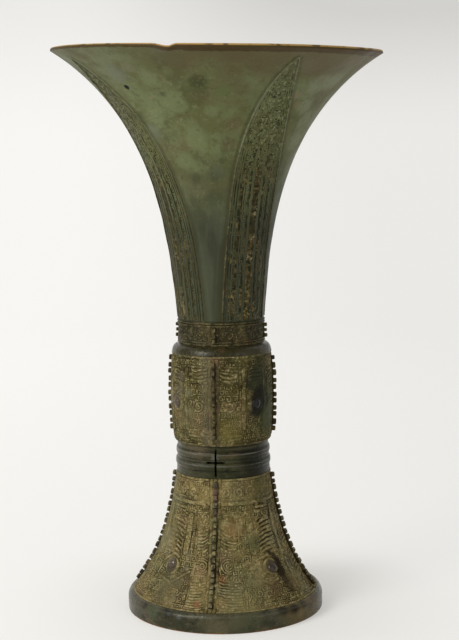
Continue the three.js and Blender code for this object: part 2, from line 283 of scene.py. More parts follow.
def carve(obj, wall, relief):
    """Moves the points on a wall out or in by a relief, and stores how far up the relief each one lies."""
    mesh = obj.data
    points = points_of(mesh)
    radius = np.hypot(points[:, 0], points[:, 1])
    level = points[:, 2]
    on_wall = np.abs(radius - wall.radius_at(level)) < 0.004 * MM
    on_wall &= (level > wall.low - 0.01 * MM) & (level < wall.high + 0.01 * MM)
    azimuth = np.arctan2(points[on_wall, 1], points[on_wall, 0])
    height, shade = relief(azimuth, level[on_wall])
    new_radius, new_level = wall.offset(level[on_wall], height)
    points[on_wall, 0] = new_radius * np.cos(azimuth)
    points[on_wall, 1] = new_radius * np.sin(azimuth)
    points[on_wall, 2] = new_level
    set_points(mesh, points)
    shades = np.full(len(points), 0.5)
    shades[on_wall] = shade
    set_attribute(mesh, "relief", shades)


def carved_quarters(node, profile, steps, wall, relief, material):
    """The four carved sections of a register, between its flanges."""
    sections = []
    for name, start in QUARTERS.items():
        obj = revolve(f"{node}_section_{name}", profile, steps, start, 90)
        carve(obj, wall, relief)
        finish_piece(obj, material, node)
        sections.append(obj)
    return sections


def dent(obj, inner, distance_at):
    """Moves the points beyond a radius out by a distance in mm at their azimuth, radius and level in mm."""
    points = points_of(obj.data)
    radius = np.hypot(points[:, 0], points[:, 1])
    azimuth = np.arctan2(points[:, 1], points[:, 0])
    distance = distance_at(azimuth, radius / MM, points[:, 2] / MM)
    move = 1 + np.where(radius > inner, distance, 0) * MM / radius
    points[:, 0] *= move
    points[:, 1] *= move
    set_points(obj.data, points)


def smooth_step(x, low, high):
    """0 below low, 1 above high and smooth between them."""
    t = np.clip((x - low) / (high - low), 0, 1)
    return t * t * (3 - 2 * t)


def inside(x, low, high, edge):
    """1 between low and high and 0 outside, with a soft change at both."""
    return smooth_step(x, low - edge, low + edge) * (1 - smooth_step(x, high - edge, high + edge))


def blend(under, over, cover):
    """One value laid over another, as far as the cover goes."""
    return under + (over - under) * cover


LATTICE = np.random.default_rng(11).random((32, 32, 32))


def cloud(x, y, z):
    """Smooth noise from 0 to 1 with cells of one unit."""
    cells = [np.floor(c).astype(int) for c in (x, y, z)]
    parts = [c - cell for c, cell in zip((x, y, z), cells)]
    parts = [p * p * (3 - 2 * p) for p in parts]
    total = 0
    for corner in range(8):
        offset = [(corner >> axis) & 1 for axis in range(3)]
        weight = 1
        for part, o in zip(parts, offset):
            weight = weight * (part if o else 1 - part)
        index = [(cell + o) % 32 for cell, o in zip(cells, offset)]
        total = total + weight * LATTICE[index[0], index[1], index[2]]
    return total


def cloud_on(azimuth, radius_mm, level_mm, size):
    """The same noise on a surface round the axis, with cells of a size in millimetres."""
    return cloud(
        radius_mm * np.cos(azimuth) / size + 7.3,
        radius_mm * np.sin(azimuth) / size + 3.1,
        level_mm / size,
    )


def fret(x, y, turns):
    """Grooves of square spirals, one to each unit tile, turning both ways by turns."""
    column = np.floor(x)
    row = np.floor(y)
    u = (x - column - 0.5) * (1 - 2 * ((column + row) % 2))
    v = y - row - 0.5
    ring = np.maximum(np.abs(u), np.abs(v))
    angle = np.arctan2(v, u) / (2 * math.pi)
    wave = np.cos(2 * math.pi * (2 * turns * ring - angle))
    return 1 - smooth_step(wave, -0.6, 0.2)


def line(distance, width):
    """A groove or a ridge of a width, from the distance to its middle."""
    return 1 - smooth_step(np.abs(distance), width / 2 - 0.14, width / 2 + 0.14)


class Field:
    """Points of a register in a mask's own coordinates.

    angle is in degrees from the mask's centre line, level in millimetres above the register's lower edge.
    """

    def __init__(self, azimuth, z, wall, low, eye_turns, uneven=1.0):
        radius = wall.radius_at(z) / MM
        wobble = cloud_on(azimuth, radius, z / MM, 3.1) + 0.5 * cloud_on(azimuth, radius, z / MM, 1.3) - 0.75
        azimuth = azimuth + 0.6 * uneven * wobble / radius
        rise = cloud_on(azimuth, radius, z / MM + 17, 2.7)
        rise = rise + 0.5 * cloud_on(azimuth, radius, z / MM + 5, 1.2) - 0.75
        z = z + 0.5 * uneven * MM * rise
        turned = (np.degrees(azimuth) + 180) % 180 - 90
        self.azimuth = azimuth
        self.from_front = (np.degrees(azimuth) + 90 + 180) % 360 - 180
        measured = np.where(turned < 0, eye_turns["left"], eye_turns["right"])
        self.true_angle = np.abs(turned)
        near = self.true_angle * EYE_TURN / measured
        far = 90 - (90 - self.true_angle) * (90 - EYE_TURN) / (90 - measured)
        before_eye = self.true_angle < measured
        self.angle = np.where(before_eye, near, far)
        self.stretch = np.where(before_eye, measured / EYE_TURN, (90 - measured) / (90 - EYE_TURN))
        self.wall = wall
        self.radius = wall.radius_at(z) / MM
        self.level = (z - low) / MM
        self.run = wall.run(z) / MM
        self.slant = np.sqrt(1 + wall.slope(z) ** 2)
        self.from_flange = self.radius * np.radians(np.minimum(self.true_angle, 90 - self.true_angle))

    def from_point(self, angle, level):
        """Distances across and up from a point of the mask, in millimetres."""
        across = self.radius * np.radians((self.angle - angle) * self.stretch)
        return across, self.slant * (self.level - level)

    def ground(self, pitch, turns=1.5):
        """Rows of square spirals of an even size, each row with its own whole count."""
        row = np.floor(self.run / pitch)
        middle = self.wall.radius_at(self.wall.level((row + 0.5) * pitch * MM)) / MM
        count = np.maximum(1, np.round(middle * math.pi / 2 / pitch))
        return fret(self.true_angle / 90 * count, self.run / pitch, turns)

    def from_path(self, points):
        """Distance to a line through (angle, level) points."""
        nearest = np.full(self.level.shape, 1e9)
        for (a0, z0), (a1, z1) in zip(points, points[1:]):
            px, py = self.from_point(a0, z0)
            qx, qy = self.from_point(a1, z1)
            dx, dy = px - qx, py - qy
            share = np.clip((px * dx + py * dy) / (dx * dx + dy * dy + 1e-9), 0, 1)
            nearest = np.minimum(nearest, np.hypot(px - share * dx, py - share * dy))
        return nearest


class Relief:
    """Grooves and raised parts that are laid over one another, each from 0 to 1."""

    def __init__(self, field, groove):
        self.field = field
        self.groove = groove
        self.rise = np.zeros_like(groove)

    def lay(self, groove, cover, rise=0.0):
        """Puts grooves and a rise over what is there, where the cover is 1."""
        self.groove = blend(self.groove, groove, cover)
        self.rise = blend(self.rise, rise, cover)

    def bars(self, bars):
        """Raised bands between two grooves. A wide one keeps a trace of the ground."""
        for points, width in bars:
            nearest = self.field.from_path(points)
            groove = line(nearest - width / 2 - 0.25, 0.6)
            if width > 2:
                groove = np.maximum(groove, 0.4 * self.groove)
            self.lay(groove, 1 - smooth_step(nearest, width / 2 + 0.5, width / 2 + 0.8), 0.7)

    def cuts(self, cuts):
        """Single grooves, each a line through points."""
        for points, width in cuts:
            cut = line(self.field.from_path(points), width)
            self.groove = np.maximum(self.groove, cut)

    def combs(self, combs):
        """Level grooves, thick and bent at the end that is nearer the centre line and thin at the other.

        A comb is its two angles, its two levels, its pitch and how far its hooks bend.
        """
        for angles, levels, pitch, hook in combs:
            across, up = self.field.from_point(angles[0], levels[0])
            far, _ = self.field.from_point(angles[1], levels[0])
            share = np.clip(across / (across - far + 1e-9), 0, 1)
            place = (up + hook * (1 - share) ** 3) / pitch
            distance = np.abs(place % 1 - 0.5) * pitch
            width = pitch * (0.56 - 0.33 * share)
            groove = 1 - smooth_step(distance, width / 2 - 0.15, width / 2 + 0.15)
            cover = inside(self.field.angle, *angles, 0.6) * inside(self.field.level, *levels, 0.4)
            self.lay(groove, cover, 0.4)

    def volutes(self, volutes):
        """Spirals, each of an angle, a level, a size, a pitch and a hand."""
        for angle, level, size, pitch, hand in volutes:
            x, y = self.field.from_point(angle, level)
            distance = np.hypot(x, y)
            turn = hand * np.arctan2(y, x) / (2 * math.pi)
            wave = np.cos(2 * math.pi * (distance / pitch - turn))
            cover = 1 - smooth_step(distance, size - 0.2, size + 0.2)
            self.lay(1 - smooth_step(wave, -0.7, 0.1), cover, 0.6)

    def arcs(self, arcs):
        """Grooves round a point, on its side towards the centre line: angle, level, size and pitch."""
        for angle, level, size, pitch in arcs:
            x, y = self.field.from_point(angle, level)
            distance = np.hypot(x, y)
            wave = np.cos(2 * math.pi * distance / pitch)
            cover = 1 - smooth_step(distance, size - 0.3, size + 0.3)
            self.lay(1 - smooth_step(wave, -0.7, 0.2), cover * (1 - smooth_step(x, 0.5, 2.0)), 0.3)

    def eye_socket(self, level):
        """A smooth swelling round an eye, in a shallow groove."""
        x, y = self.field.from_point(EYE_TURN, level)
        distance = np.hypot(x / 1.15, y)
        self.lay(0.0, 1 - smooth_step(distance, 4.0, 4.4))
        self.rise = np.maximum(self.rise, 1.5 * np.sqrt(np.clip(1 - (distance / 4.1) ** 2, 0, 1)))
        self.lay(0.8, line(distance - 4.4, 0.6))

    def flange_seat(self, width):
        """A plain strip beside each flange, between two grooves."""
        beside = self.field.from_flange
        self.lay(0.3, 1 - smooth_step(beside, 2.6, 2.8), 0.1)
        self.lay(1.0, line(beside - width / 2 - 0.15, 0.45))
        self.lay(1.0, line(beside - 2.85, 0.45))

    def edge_lines(self, run, total):
        """A plain line and a groove along both edges of a register."""
        for distance in (run, total - run):
            self.lay(0.15, 1 - smooth_step(distance, 0.8, 1.0), 0.5)
            self.lay(0.9, line(distance - 1.15, 0.5))

    def rub(self, places):
        """Worn places: turn from the front flange, level, size and what is left of the grooves."""
        for turn, level, size, left in places:
            x = self.field.radius * np.radians(self.field.from_front - turn)
            y = self.field.slant * (self.field.level - level)
            uneven = cloud_on(self.field.azimuth, self.field.radius, self.field.level, 3.5)
            distance = np.hypot(x, y) + 0.6 * size * (uneven - 0.5)
            near = 1 - smooth_step(distance, 0.6 * size, size)
            self.groove = self.groove * (1 - near * (1 - left))

    def wear(self, left):
        """Cloudy wear all over, down to what is left of the grooves."""
        patches = cloud_on(self.field.azimuth, self.field.radius, self.field.level + 40, 8.0)
        self.groove = self.groove * (left + (1 - left) * smooth_step(patches, 0.25, 0.6))

    def finished(self, depth, raised):
        """Height over the wall in metres, and how far up the relief each point lies."""
        place = (self.field.azimuth, self.field.radius)
        grain = cloud_on(*place, self.field.level, 1.1) - 0.5
        fine = cloud_on(*place, self.field.level + 9, 0.55) - 0.5
        broken = smooth_step(cloud_on(*place, self.field.level + 23, 1.9), 0.2, 0.5)
        groove = self.groove * (0.4 + 0.6 * broken)
        height = raised * self.rise - depth * groove + (0.1 * grain + 0.06 * fine) * MM
        return height, np.clip(1 - groove + 0.35 * grain + 0.3 * fine, 0, 1)


# The masks are drawn with their eyes at one turn from the centre line, and stretched to where the eyes are
EYE_TURN = 49
KNOP_EYES = {"left": 49, "right": 49}
FOOT_EYES = {"left": 38.5, "right": 49.5}
KNOP_EYE_LEVEL = 20.6
FOOT_EYE_LEVEL = 17.4

# The mask on the foot, in degrees from its centre line and millimetres above the register's lower edge.
# A bar or a cut is its points and its width.
FOOT_BARS = [
    ([(68, 45), (68.5, 21.5)], 2.0),
    ([(35.5, 42), (35.5, 25)], 3.4),
    ([(70, 19), (69, 5)], 1.4),
    ([(43, 22), (50, 23.2), (57, 20), (60.5, 13)], 1.3),
    ([(25, 16.5), (34, 13.5), (44, 10), (52, 11.5)], 1.3),
    ([(46, 45.8), (62, 45.6)], 1.2),
]
FOOT_CUTS = [
    ([(28, 45.6), (8, 45.6)], 0.5),
    ([(64, 43), (64.5, 22)], 0.6),
    ([(75.5, 19), (75, 4)], 0.6),
    ([(73, 46), (73.5, 21)], 0.5),
    ([(22.5, 13), (22.5, 1)], 0.5),
    ([(25, 40), (25, 24)], 0.5),
    ([(57, 21), (61, 15), (63, 9)], 1.1),
    ([(52, 13), (57, 12.6), (60, 10)], 0.9),
]
FOOT_COMBS = [
    ((5, 21), (25.5, 37), 1.65, -3.0),
    ((3.8, 21), (1.0, 13.2), 1.35, -1.5),
    ((44, 62), (24, 40), 2.0, 1.8),
    ((79, 88), (8, 42), 2.0, 0.8),
]
FOOT_VOLUTES = [
    (56, 8.3, 2.0, 1.3, 1),
    (58.5, 3.6, 1.9, 1.25, -1),
    (66, 4.8, 2.0, 1.3, 1),
    (33, 7, 2.1, 1.3, -1),
    (41, 4, 2.0, 1.3, 1),
    (28, 4.5, 1.9, 1.25, 1),
    (50, 42.3, 1.9, 1.25, 1),
    (58, 42.3, 1.9, 1.25, -1),
    (14, 42, 2.1, 1.3, 1),
    (24, 42, 1.9, 1.25, -1),
]
FOOT_ARCS = [(12.5, 19.5, 4.6, 1.2)]
FOOT_RUBBED = [
    (34, 16, 8, 0.12),
    (18, 38, 7, 0.25),
    (36, 33, 5, 0.4),
    (45, 33, 4, 0.6),
    (-62, 26, 9, 0.35),
    (-30, 4, 5, 0.3),
]

# The mask on the knop
KNOP_BARS = [
    ([(34, 38), (34, 9)], 2.0),
    ([(62, 37), (62, 7)], 1.8),
    ([(41, 28), (48, 26.6), (55, 24), (57.5, 17), (54, 11.5)], 1.3),
]
KNOP_CUTS = [
    ([(28, 38), (28, 24)], 0.5),
    ([(39, 37), (39, 30), (58, 30)], 0.6),
    ([(68, 38), (68, 5)], 0.7),
    ([(8, 6.6), (30, 6.6)], 0.6),
    ([(12, 31.5), (27, 31.5)], 0.6),
]
KNOP_COMBS = [
    ((7, 26), (33, 40), 1.7, -1.0),
    ((8, 31), (2.0, 5.8), 1.6, 0.6),
    ((72, 87), (5, 37), 2.0, 0.8),
    ((41, 59), (32, 39), 1.8, 0.8),
]
KNOP_VOLUTES = [
    (17.5, 20.5, 3.2, 1.35, 1),
    (27, 12, 1.9, 1.25, -1),
    (15, 11.5, 1.9, 1.25, 1),
    (24, 28, 1.8, 1.25, -1),
    (44, 9, 1.9, 1.25, 1),
    (54, 6.5, 1.9, 1.25, -1),
    (40, 20, 1.8, 1.25, 1),
]
KNOP_RUBBED = [
    (74, 12, 9, 0.2),
    (-75, 24, 7, 0.3),
    (12, 3, 6, 0.4),
    (-12, 3, 6, 0.4),
    (22, 36, 5, 0.4),
    (18, 20, 5, 0.5),
]


def trumpet_dents(azimuth, z):
    """The uneven surface of the trumpet, in millimetres over its wall."""
    radius = trumpet_radius(z) / MM
    level = z / MM
    dents = cloud_on(azimuth, radius, level, 26) + 0.5 * cloud_on(azimuth, radius, level, 9) - 0.75
    rough = cloud_on(azimuth, radius, level, 2.5) - 0.5
    return 0.22 * dents + 0.05 * rough


def stem_dents(azimuth, radius, level):
    """The stem isn't quite even: its surface and strings swell and fade a little. All lengths are in mm."""
    coarse = cloud_on(azimuth, radius, level, 7) - 0.5
    fine = cloud_on(azimuth, radius, level, 2.2) - 0.5
    return 0.3 * coarse + 0.1 * fine


def ring_dents(azimuth, radius, level):
    """The ring's face is dented, and its foot is left level. All lengths are in mm."""
    coarse = cloud_on(azimuth, radius, level, 11) - 0.5
    fine = cloud_on(azimuth, radius, level, 3) - 0.5
    return np.where(level > 0.5, 0.35 * (coarse + 0.35 * fine) - 0.15, 0)


class Nodes:
    """A short way to write a material's node tree. Its colour is what the tints laid so far come to."""

    def __init__(self, name, colour=None):
        self.colour = colour
        self.material = bpy.data.materials.new(name)
        self.material.use_nodes = True
        self.tree = self.material.node_tree
        self.tree.nodes.clear()
        self.coordinates = self.add("ShaderNodeTexCoord").outputs["Object"]

    def add(self, kind, **values):
        node = self.tree.nodes.new(kind)
        for key, value in values.items():
            setattr(node, key, value)
        return node

    def link(self, source, target):
        """Joins a socket to another, or gives the other a value."""
        if isinstance(source, bpy.types.NodeSocket):
            self.tree.links.new(source, target)
        else:
            target.default_value = source

    def noise(self, scale, detail, roughness=0.55, stretch=(1, 1, 1), offset=(0, 0, 0)):
        mapping = self.add("ShaderNodeMapping")
        mapping.inputs["Scale"].default_value = stretch
        mapping.inputs["Location"].default_value = offset
        self.link(self.coordinates, mapping.inputs["Vector"])
        node = self.add("ShaderNodeTexNoise")
        node.inputs["Scale"].default_value = scale
        node.inputs["Detail"].default_value = detail
        node.inputs["Roughness"].default_value = roughness
        self.link(mapping.outputs["Vector"], node.inputs["Vector"])
        return node.outputs["Fac"]

    def attribute(self, name):
        return self.add("ShaderNodeAttribute", attribute_name=name).outputs["Fac"]

    def axis(self, name):
        split = self.add("ShaderNodeSeparateXYZ")
        self.link(self.coordinates, split.inputs["Vector"])
        return split.outputs[name]

    def span(self, value, low, high, to_low=0.0, to_high=1.0):
        """A smooth step from to_low to to_high while the value goes from low to high."""
        node = self.add("ShaderNodeMapRange", interpolation_type="SMOOTHSTEP")
        self.link(value, node.inputs["Value"])
        for key, number in (("From Min", low), ("From Max", high), ("To Min", to_low), ("To Max", to_high)):
            node.inputs[key].default_value = number
        return node.outputs["Result"]

    def math(self, operation, a, b=0.0):
        node = self.add("ShaderNodeMath", operation=operation)
        self.link(a, node.inputs[0])
        self.link(b, node.inputs[1])
        return node.outputs["Value"]

    def plus(self, a, b):
        return self.math("ADD", a, b)

    def times(self, a, b):
        return self.math("MULTIPLY", a, b)

    def mix(self, share, a, b):
        node = self.add("ShaderNodeMix", data_type="RGBA")
        self.link(share, node.inputs[0])
        for socket, value in ((node.inputs[6], a), (node.inputs[7], b)):
            self.link(value if isinstance(value, bpy.types.NodeSocket) else (*value, 1), socket)
        return node.outputs[2]

    def lay(self, cover, tint):
        """Lays a tint over the colour where the cover is 1."""
        self.colour = self.mix(cover, self.colour, tint)

    def clouds(self, layers, stretch=(1, 1, 1)):
        """Lays cloudy tints: each layer is a tint, scale, detail, edges, share and shift."""
        for tint, scale, detail, edges, share, shift in layers:
            self.lay(self.span(self.noise(scale, detail, 0.62, stretch, shift), *edges, 0, share), tint)

    def stains(self, spots):
        """Lays local stains: each spot is a centre, size, softness, share and tint."""
        for centre, size, soft, share, tint in spots:
            self.lay(self.times(self.spot(centre, size, soft), share), tint)

    def spot(self, centre, size, soft):
        """1 near a point, falling to 0 over a soft edge that noise makes uneven."""
        node = self.add("ShaderNodeVectorMath", operation="DISTANCE")
        self.link(self.coordinates, node.inputs[0])
        node.inputs[1].default_value = centre
        uneven = self.times(self.noise(150, 4, 0.6), 2 * soft)
        distance = self.plus(node.outputs["Value"], uneven)
        return self.span(distance, size + 2 * soft, size, 0, 1)

    def bump(self, height, strength, distance):
        node = self.add("ShaderNodeBump")
        node.inputs["Strength"].default_value = strength
        node.inputs["Distance"].default_value = distance
        self.link(height, node.inputs["Height"])
        return node.outputs["Normal"]

    def surface(self, roughness, metallic, normal, specular=0.5):
        shader = self.add("ShaderNodeBsdfPrincipled")
        self.link(self.colour, shader.inputs["Base Color"])
        self.link(roughness, shader.inputs["Roughness"])
        shader.inputs["Metallic"].default_value = metallic
        shader.inputs["Specular IOR Level"].default_value = specular
        self.link(normal, shader.inputs["Normal"])
        output = self.add("ShaderNodeOutputMaterial")
        self.link(shader.outputs["BSDF"], output.inputs["Surface"])
        return self.material


def green_patina(name, colours, spots, pits):
    """The trumpet: mottled green, browner towards the lip and dark in the throat, with black pits."""
    n = Nodes(name, colours.green)
    layers = (
        (colours.pale_green, 28, 4, (0.47, 0.58), 0.65, (0, 0, 0)),
        (colours.moss, 40, 4, (0.53, 0.61), 0.45, (3, 1, 2)),
        (colours.pale_green, 95, 4, (0.55, 0.62), 0.5, (2, 7, 5)),
        (colours.moss, 140, 4, (0.57, 0.65), 0.4, (5, 2, 3)),
    )
    n.clouds(layers)
    brown = n.span(n.noise(32, 3, 0.5, stretch=(1, 1, 1.8), offset=(8, 4, 1)), 0.5, 0.64, 0, 0.5)
    n.lay(brown, colours.brown_green)
    n.stains(spots)
    specks = n.span(n.noise(420, 3, 0.6, stretch=(1, 1, 0.45), offset=(1, 2, 3)), 0.57, 0.66)
    patches = n.span(n.noise(38, 4, offset=(6, 6, 6)), 0.52, 0.64, 0, 0.4)
    n.lay(n.times(specks, patches), (0.21, 0.18, 0.1))
    flecks = n.span(n.noise(520, 3, 0.6), 0.57, 0.68, 0, 0.4)
    n.lay(flecks, colours.moss)
    flecks = n.span(n.noise(560, 3, 0.6, offset=(3, 6, 2)), 0.57, 0.68, 0, 0.35)
    n.lay(flecks, (0.18, 0.195, 0.115))
    level = n.attribute("rise")
    uneven = n.times(n.noise(45, 5, 0.6, stretch=(1, 1, 2), offset=(5, 5, 0)), 30 * MM)
    high = n.span(n.plus(level, uneven), MOUTH_LEVEL - 4 * MM, MOUTH_LEVEL + 10 * MM, 0, 0.85)
    high = n.times(high, n.span(n.axis("X"), -35 * MM, 10 * MM, 0.15, 1.0))
    n.lay(high, colours.brown_green)
    low = n.math("SUBTRACT", level, uneven)
    low = n.span(low, MOUTH_LEVEL - 55 * MM, MOUTH_LEVEL - 110 * MM, 0, 0.9)
    n.lay(low, colours.deep_green)
    streaks = n.span(n.noise(150, 3, 0.5, stretch=(1, 1, 0.12)), 0.52, 0.66, 0, 0.5)
    n.lay(n.times(streaks, low), colours.dark)
    # Painted shade: dark where the relief attribute is low, just outside the blades' edges
    n.lay(n.span(n.attribute("relief"), 0.5, 0.1, 0, 0.6), (0.04, 0.034, 0.012))
    n.lay(n.span(n.attribute("relief"), 0.55, 0.9, 0, 0.4), colours.pale_green)
    n.stains(pits)
    depth = n.span(n.axis("X"), -30 * MM, 10 * MM, 0.8 * MM, 2.5 * MM)
    ragged = n.times(n.noise(260, 3), 1.4 * MM)
    under = n.plus(n.plus(level, depth), ragged)
    band = n.span(under, MOUTH_LEVEL - 0.4 * MM, MOUTH_LEVEL, 0, 0.95)
    n.lay(band, colours.lip_band)
    edge = n.plus(level, n.span(n.axis("X"), -30 * MM, 30 * MM, 0, 0.4 * MM))
    edge = n.span(edge, MOUTH_LEVEL - 0.6 * MM, MOUTH_LEVEL - 0.3 * MM)
    gold = n.times(edge, n.span(n.noise(190, 3), 0.36, 0.5, 0.2, 0.95))
    n.lay(gold, colours.lip)
    roughness = n.span(n.noise(60, 4), 0.3, 0.7, 0.42, 0.58)
    grain = n.plus(n.noise(700, 4, 0.6), n.times(n.noise(130, 4, 0.6), 2.0))
    return n.surface(roughness, 0.1, n.bump(grain, 0.35, 0.5 * MM), 0.13)


def relief_patina(
    name, colours, light, dark, earth_share=0.5, spots=(), green_share=0.6, contrast=0.92, worn=0.7, strips=()
):
    """Cast relief: pale and rubbed where it stands up, dark in its grooves, with earth caught in patches.

    strips are upright bands on the front: from and to on X in mm, share and tint.
    """
    strip_edge = 0.7
    n = Nodes(name, light)
    up = n.attribute("relief")
    layers = (
        (dark, 40, 5, (0.43, 0.58), 0.8, (0, 0, 0)),
        (colours.relief_green, 55, 5, (0.51, 0.59), green_share, (7, 2, 9)),
        (colours.blush, 62, 4, (0.55, 0.65), 0.75 * green_share, (2, 8, 6)),
        (colours.mist, 48, 5, (0.55, 0.64), 0.9 * green_share, (9, 3, 1)),
        (colours.russet, 90, 5, (0.59, 0.67), 0.5, (4, 8, 1)),
        (colours.groove, 260, 3, (0.57, 0.67), 0.45, (3, 7, 5)),
        (colours.rubbed, 300, 3, (0.6, 0.7), 0.4 * worn, (8, 2, 4)),
        (dark, 420, 3, (0.53, 0.64), 0.7, (6, 1, 1)),
        (colours.groove, 760, 3, (0.55, 0.65), 0.7, (1, 6, 3)),
    )
    n.clouds(layers)
    rubbed = n.times(n.span(up, 0.7, 1.0), n.span(n.noise(300, 3), 0.42, 0.62, 0, 0.65 * worn))
    n.lay(rubbed, colours.rubbed)
    # On the flanges the relief attribute is low between the teeth, so there this dark is painted shade
    deep = n.span(n.noise(52, 3, offset=(3, 3, 8)), 0.4, 0.6, 0.55 * contrast, contrast)
    groove = n.times(n.span(up, 0.8, 0.25), deep)
    n.lay(groove, colours.groove)
    glints = n.times(n.span(up, 0.5, 0.9), n.span(n.noise(800, 2, 0.6), 0.55, 0.64, 0, 1.15 * worn))
    n.lay(glints, colours.rubbed)
    patches = n.span(n.noise(85, 4, 0.65, offset=(1, 5, 2)), 0.5, 0.62)
    caught = n.math("MAXIMUM", n.span(up, 0.6, 0.2), n.span(n.noise(900, 2), 0.5, 0.62, 0, 0.7))
    earth = n.times(n.plus(patches, n.attribute("earth")), caught)
    n.lay(n.times(earth, earth_share), colours.earth)
    for low, high, share, tint in strips:
        x = n.plus(n.axis("X"), n.times(n.math("SUBTRACT", n.noise(160, 3), 0.5), 1.5 * MM))
        from_left = n.span(x, low * MM, (low + strip_edge) * MM)
        from_right = n.span(x, high * MM, (high - strip_edge) * MM, 0, share)
        in_front = n.span(n.axis("Y"), 0, -1 * MM)
        n.lay(n.times(n.times(from_left, from_right), in_front), tint)
    n.stains(spots)
    roughness = n.span(n.noise(75, 4), 0.3, 0.7, 0.45, 0.62)
    return n.surface(roughness, 0.1, n.bump(n.noise(800, 3, 0.6), 0.5, 0.4 * MM), 0.1)


def dark_patina(
    name, colours, spots=(), light_share=0.5, base=None, light=None, wear=(), stretch=(1, 1, 1), specular=0.2
):
    """The plain bands: smooth dark bronze with a soft sheen and cloudy grey-green patches.

    wear is a list of level lines, each a level, half width, share and tint: bands of dirt and colour, painted
    shade in creases and painted highlights.
    """
    n = Nodes(name, base or colours.dark)
    light = light or colours.grey_green
    layers = (
        (light, 45, 5, (0.44, 0.58), light_share, (0, 0, 0)),
        (colours.russet, 60, 4, (0.58, 0.7), 0.35, (4, 4, 4)),
        (colours.stain, 80, 4, (0.56, 0.64), 0.6, (9, 1, 4)),
        (light, 330, 4, (0.56, 0.65), 0.75, (2, 2, 2)),
        (colours.stain, 500, 3, (0.56, 0.66), 0.7, (5, 2, 8)),
    )
    n.clouds(layers, stretch)
    n.stains(spots)
    for level, half_width, share, tint in wear:
        away = n.math("ABSOLUTE", n.math("SUBTRACT", n.axis("Z"), level))
        away = n.plus(away, n.times(n.noise(110, 4), 2 * half_width))
        patchy = n.span(n.noise(70, 4, offset=(0, 0, level)), 0.35, 0.55, 0.3, 1.0)
        cover = n.times(n.span(away, 2.2 * half_width, 0.8 * half_width, 0, share), patchy)
        n.lay(cover, tint)
    roughness = n.span(n.noise(120, 4), 0.3, 0.7, 0.18, 0.34)
    grain = n.plus(n.noise(500, 4, 0.6, stretch), n.noise(150, 3, 0.6, stretch))
    return n.surface(roughness, 0.1, n.bump(grain, 0.45, 0.6 * MM), specular)


def length(name, text, default):
    return bpy.props.FloatProperty(
        name=name, description=text, default=default, min=0, unit="LENGTH", precision=5
    )


def colour(name, text, default):
    return bpy.props.FloatVectorProperty(
        name=name, description=text, default=default, min=0, max=1, size=3, subtype="COLOR"
    )


class GuSizes(bpy.types.PropertyGroup):
    fret_pitch: length("Fret pitch", "Size of one square spiral of the ground", 3.1 * MM)
    fret_depth: length("Fret depth", "Depth of the ground's grooves", 0.36 * MM)
    mask_height: length("Mask height", "How far the masks' lines stand up", 0.25 * MM)
    blade_half_width: length("Blade half width", "Half the width of a blade", 13.2 * MM)
    blade_taper: length("Blade taper", "Length over which a blade narrows to its tip", 80 * MM)
    blade_tip_drop: length("Blade tip drop", "Distance from the mouth down to the tips", 4.7 * MM)
    blade_height: length("Blade height", "How far the blades' outlines stand up", 0.6 * MM)
    flange_height: length("Flange height", "How far the flanges stand out", 2.1 * MM)
    flange_bevel: length("Flange bevel", "Wear on the flanges' edges", 0.22 * MM)
    eye_radius: length("Eye radius", "Radius of a mask's eye", 2.6 * MM)
    eye_height: length("Eye height", "Height of a mask's eye", 1.8 * MM)
    cross_height: length("Cross height", "Height of the cross openings", 13.8 * MM)
    cross_width: length("Cross width", "Width of the cross openings", 9 * MM)
    cross_slot: length("Cross slot", "Width of the openings' slots", 1.1 * MM)


class GuColours(bpy.types.PropertyGroup):
    green: colour("Green", "Main patina of the trumpet", (0.102, 0.11, 0.04))
    pale_green: colour("Pale green", "Lighter clouds of the trumpet", (0.145, 0.17, 0.078))
    moss: colour("Moss", "Darker green clouds of the trumpet", (0.056, 0.062, 0.022))
    brown_green: colour("Brown green", "Brown clouds near the lip", (0.108, 0.089, 0.042))
    deep_green: colour("Deep green", "The throat's lower part", (0.048, 0.054, 0.034))
    lip: colour("Lip", "Rubbed metal on the lip", (0.4, 0.25, 0.08))
    lip_band: colour("Lip band", "Brown band under the lip", (0.06, 0.038, 0.012))
    olive: colour("Olive", "Light tone of the relief", (0.19, 0.15, 0.056))
    umber: colour("Umber", "Dark tone of the relief", (0.105, 0.082, 0.028))
    relief_green: colour("Relief green", "Green patches on the relief", (0.105, 0.11, 0.038))
    blush: colour("Blush", "Warm patches on the relief", (0.19, 0.118, 0.062))
    mist: colour("Mist", "Grey-green patches on the relief", (0.13, 0.135, 0.082))
    russet: colour("Russet", "Red-brown patches", (0.15, 0.085, 0.035))
    groove: colour("Groove", "Grooves of the relief", (0.022, 0.015, 0.004))
    rubbed: colour("Rubbed", "Raised edges of the relief", (0.34, 0.285, 0.14))
    earth: colour("Earth", "Earth caught in the relief", (0.36, 0.27, 0.1))
    blade_green: colour("Blade green", "Upper parts of the blades", (0.044, 0.05, 0.016))
    blade_umber: colour("Blade umber", "Lower parts of the blades", (0.034, 0.028, 0.008))
    dark: colour("Dark", "Smooth dark bands", (0.021, 0.021, 0.01))
    grey_green: colour("Grey green", "Cloudy patches of the dark bands", (0.055, 0.053, 0.03))
    stain: colour("Stain", "Almost black stains", (0.009, 0.008, 0.005))


class GuStage(bpy.types.PropertyGroup):
    backdrop: colour("Backdrop", "Colour of the floor and backdrop", (0.915, 0.905, 0.875))
    key_power: bpy.props.FloatProperty(name="Key power", description="Upper left lamp", default=15.0)
    fill_power: bpy.props.FloatProperty(name="Fill power", description="Right lamp", default=1.8)
    top_power: bpy.props.FloatProperty(name="Top power", description="Overhead lamp", default=4.0)
    world_strength: bpy.props.FloatProperty(
        name="World strength", description="Soft light from all round", default=0.32
    )


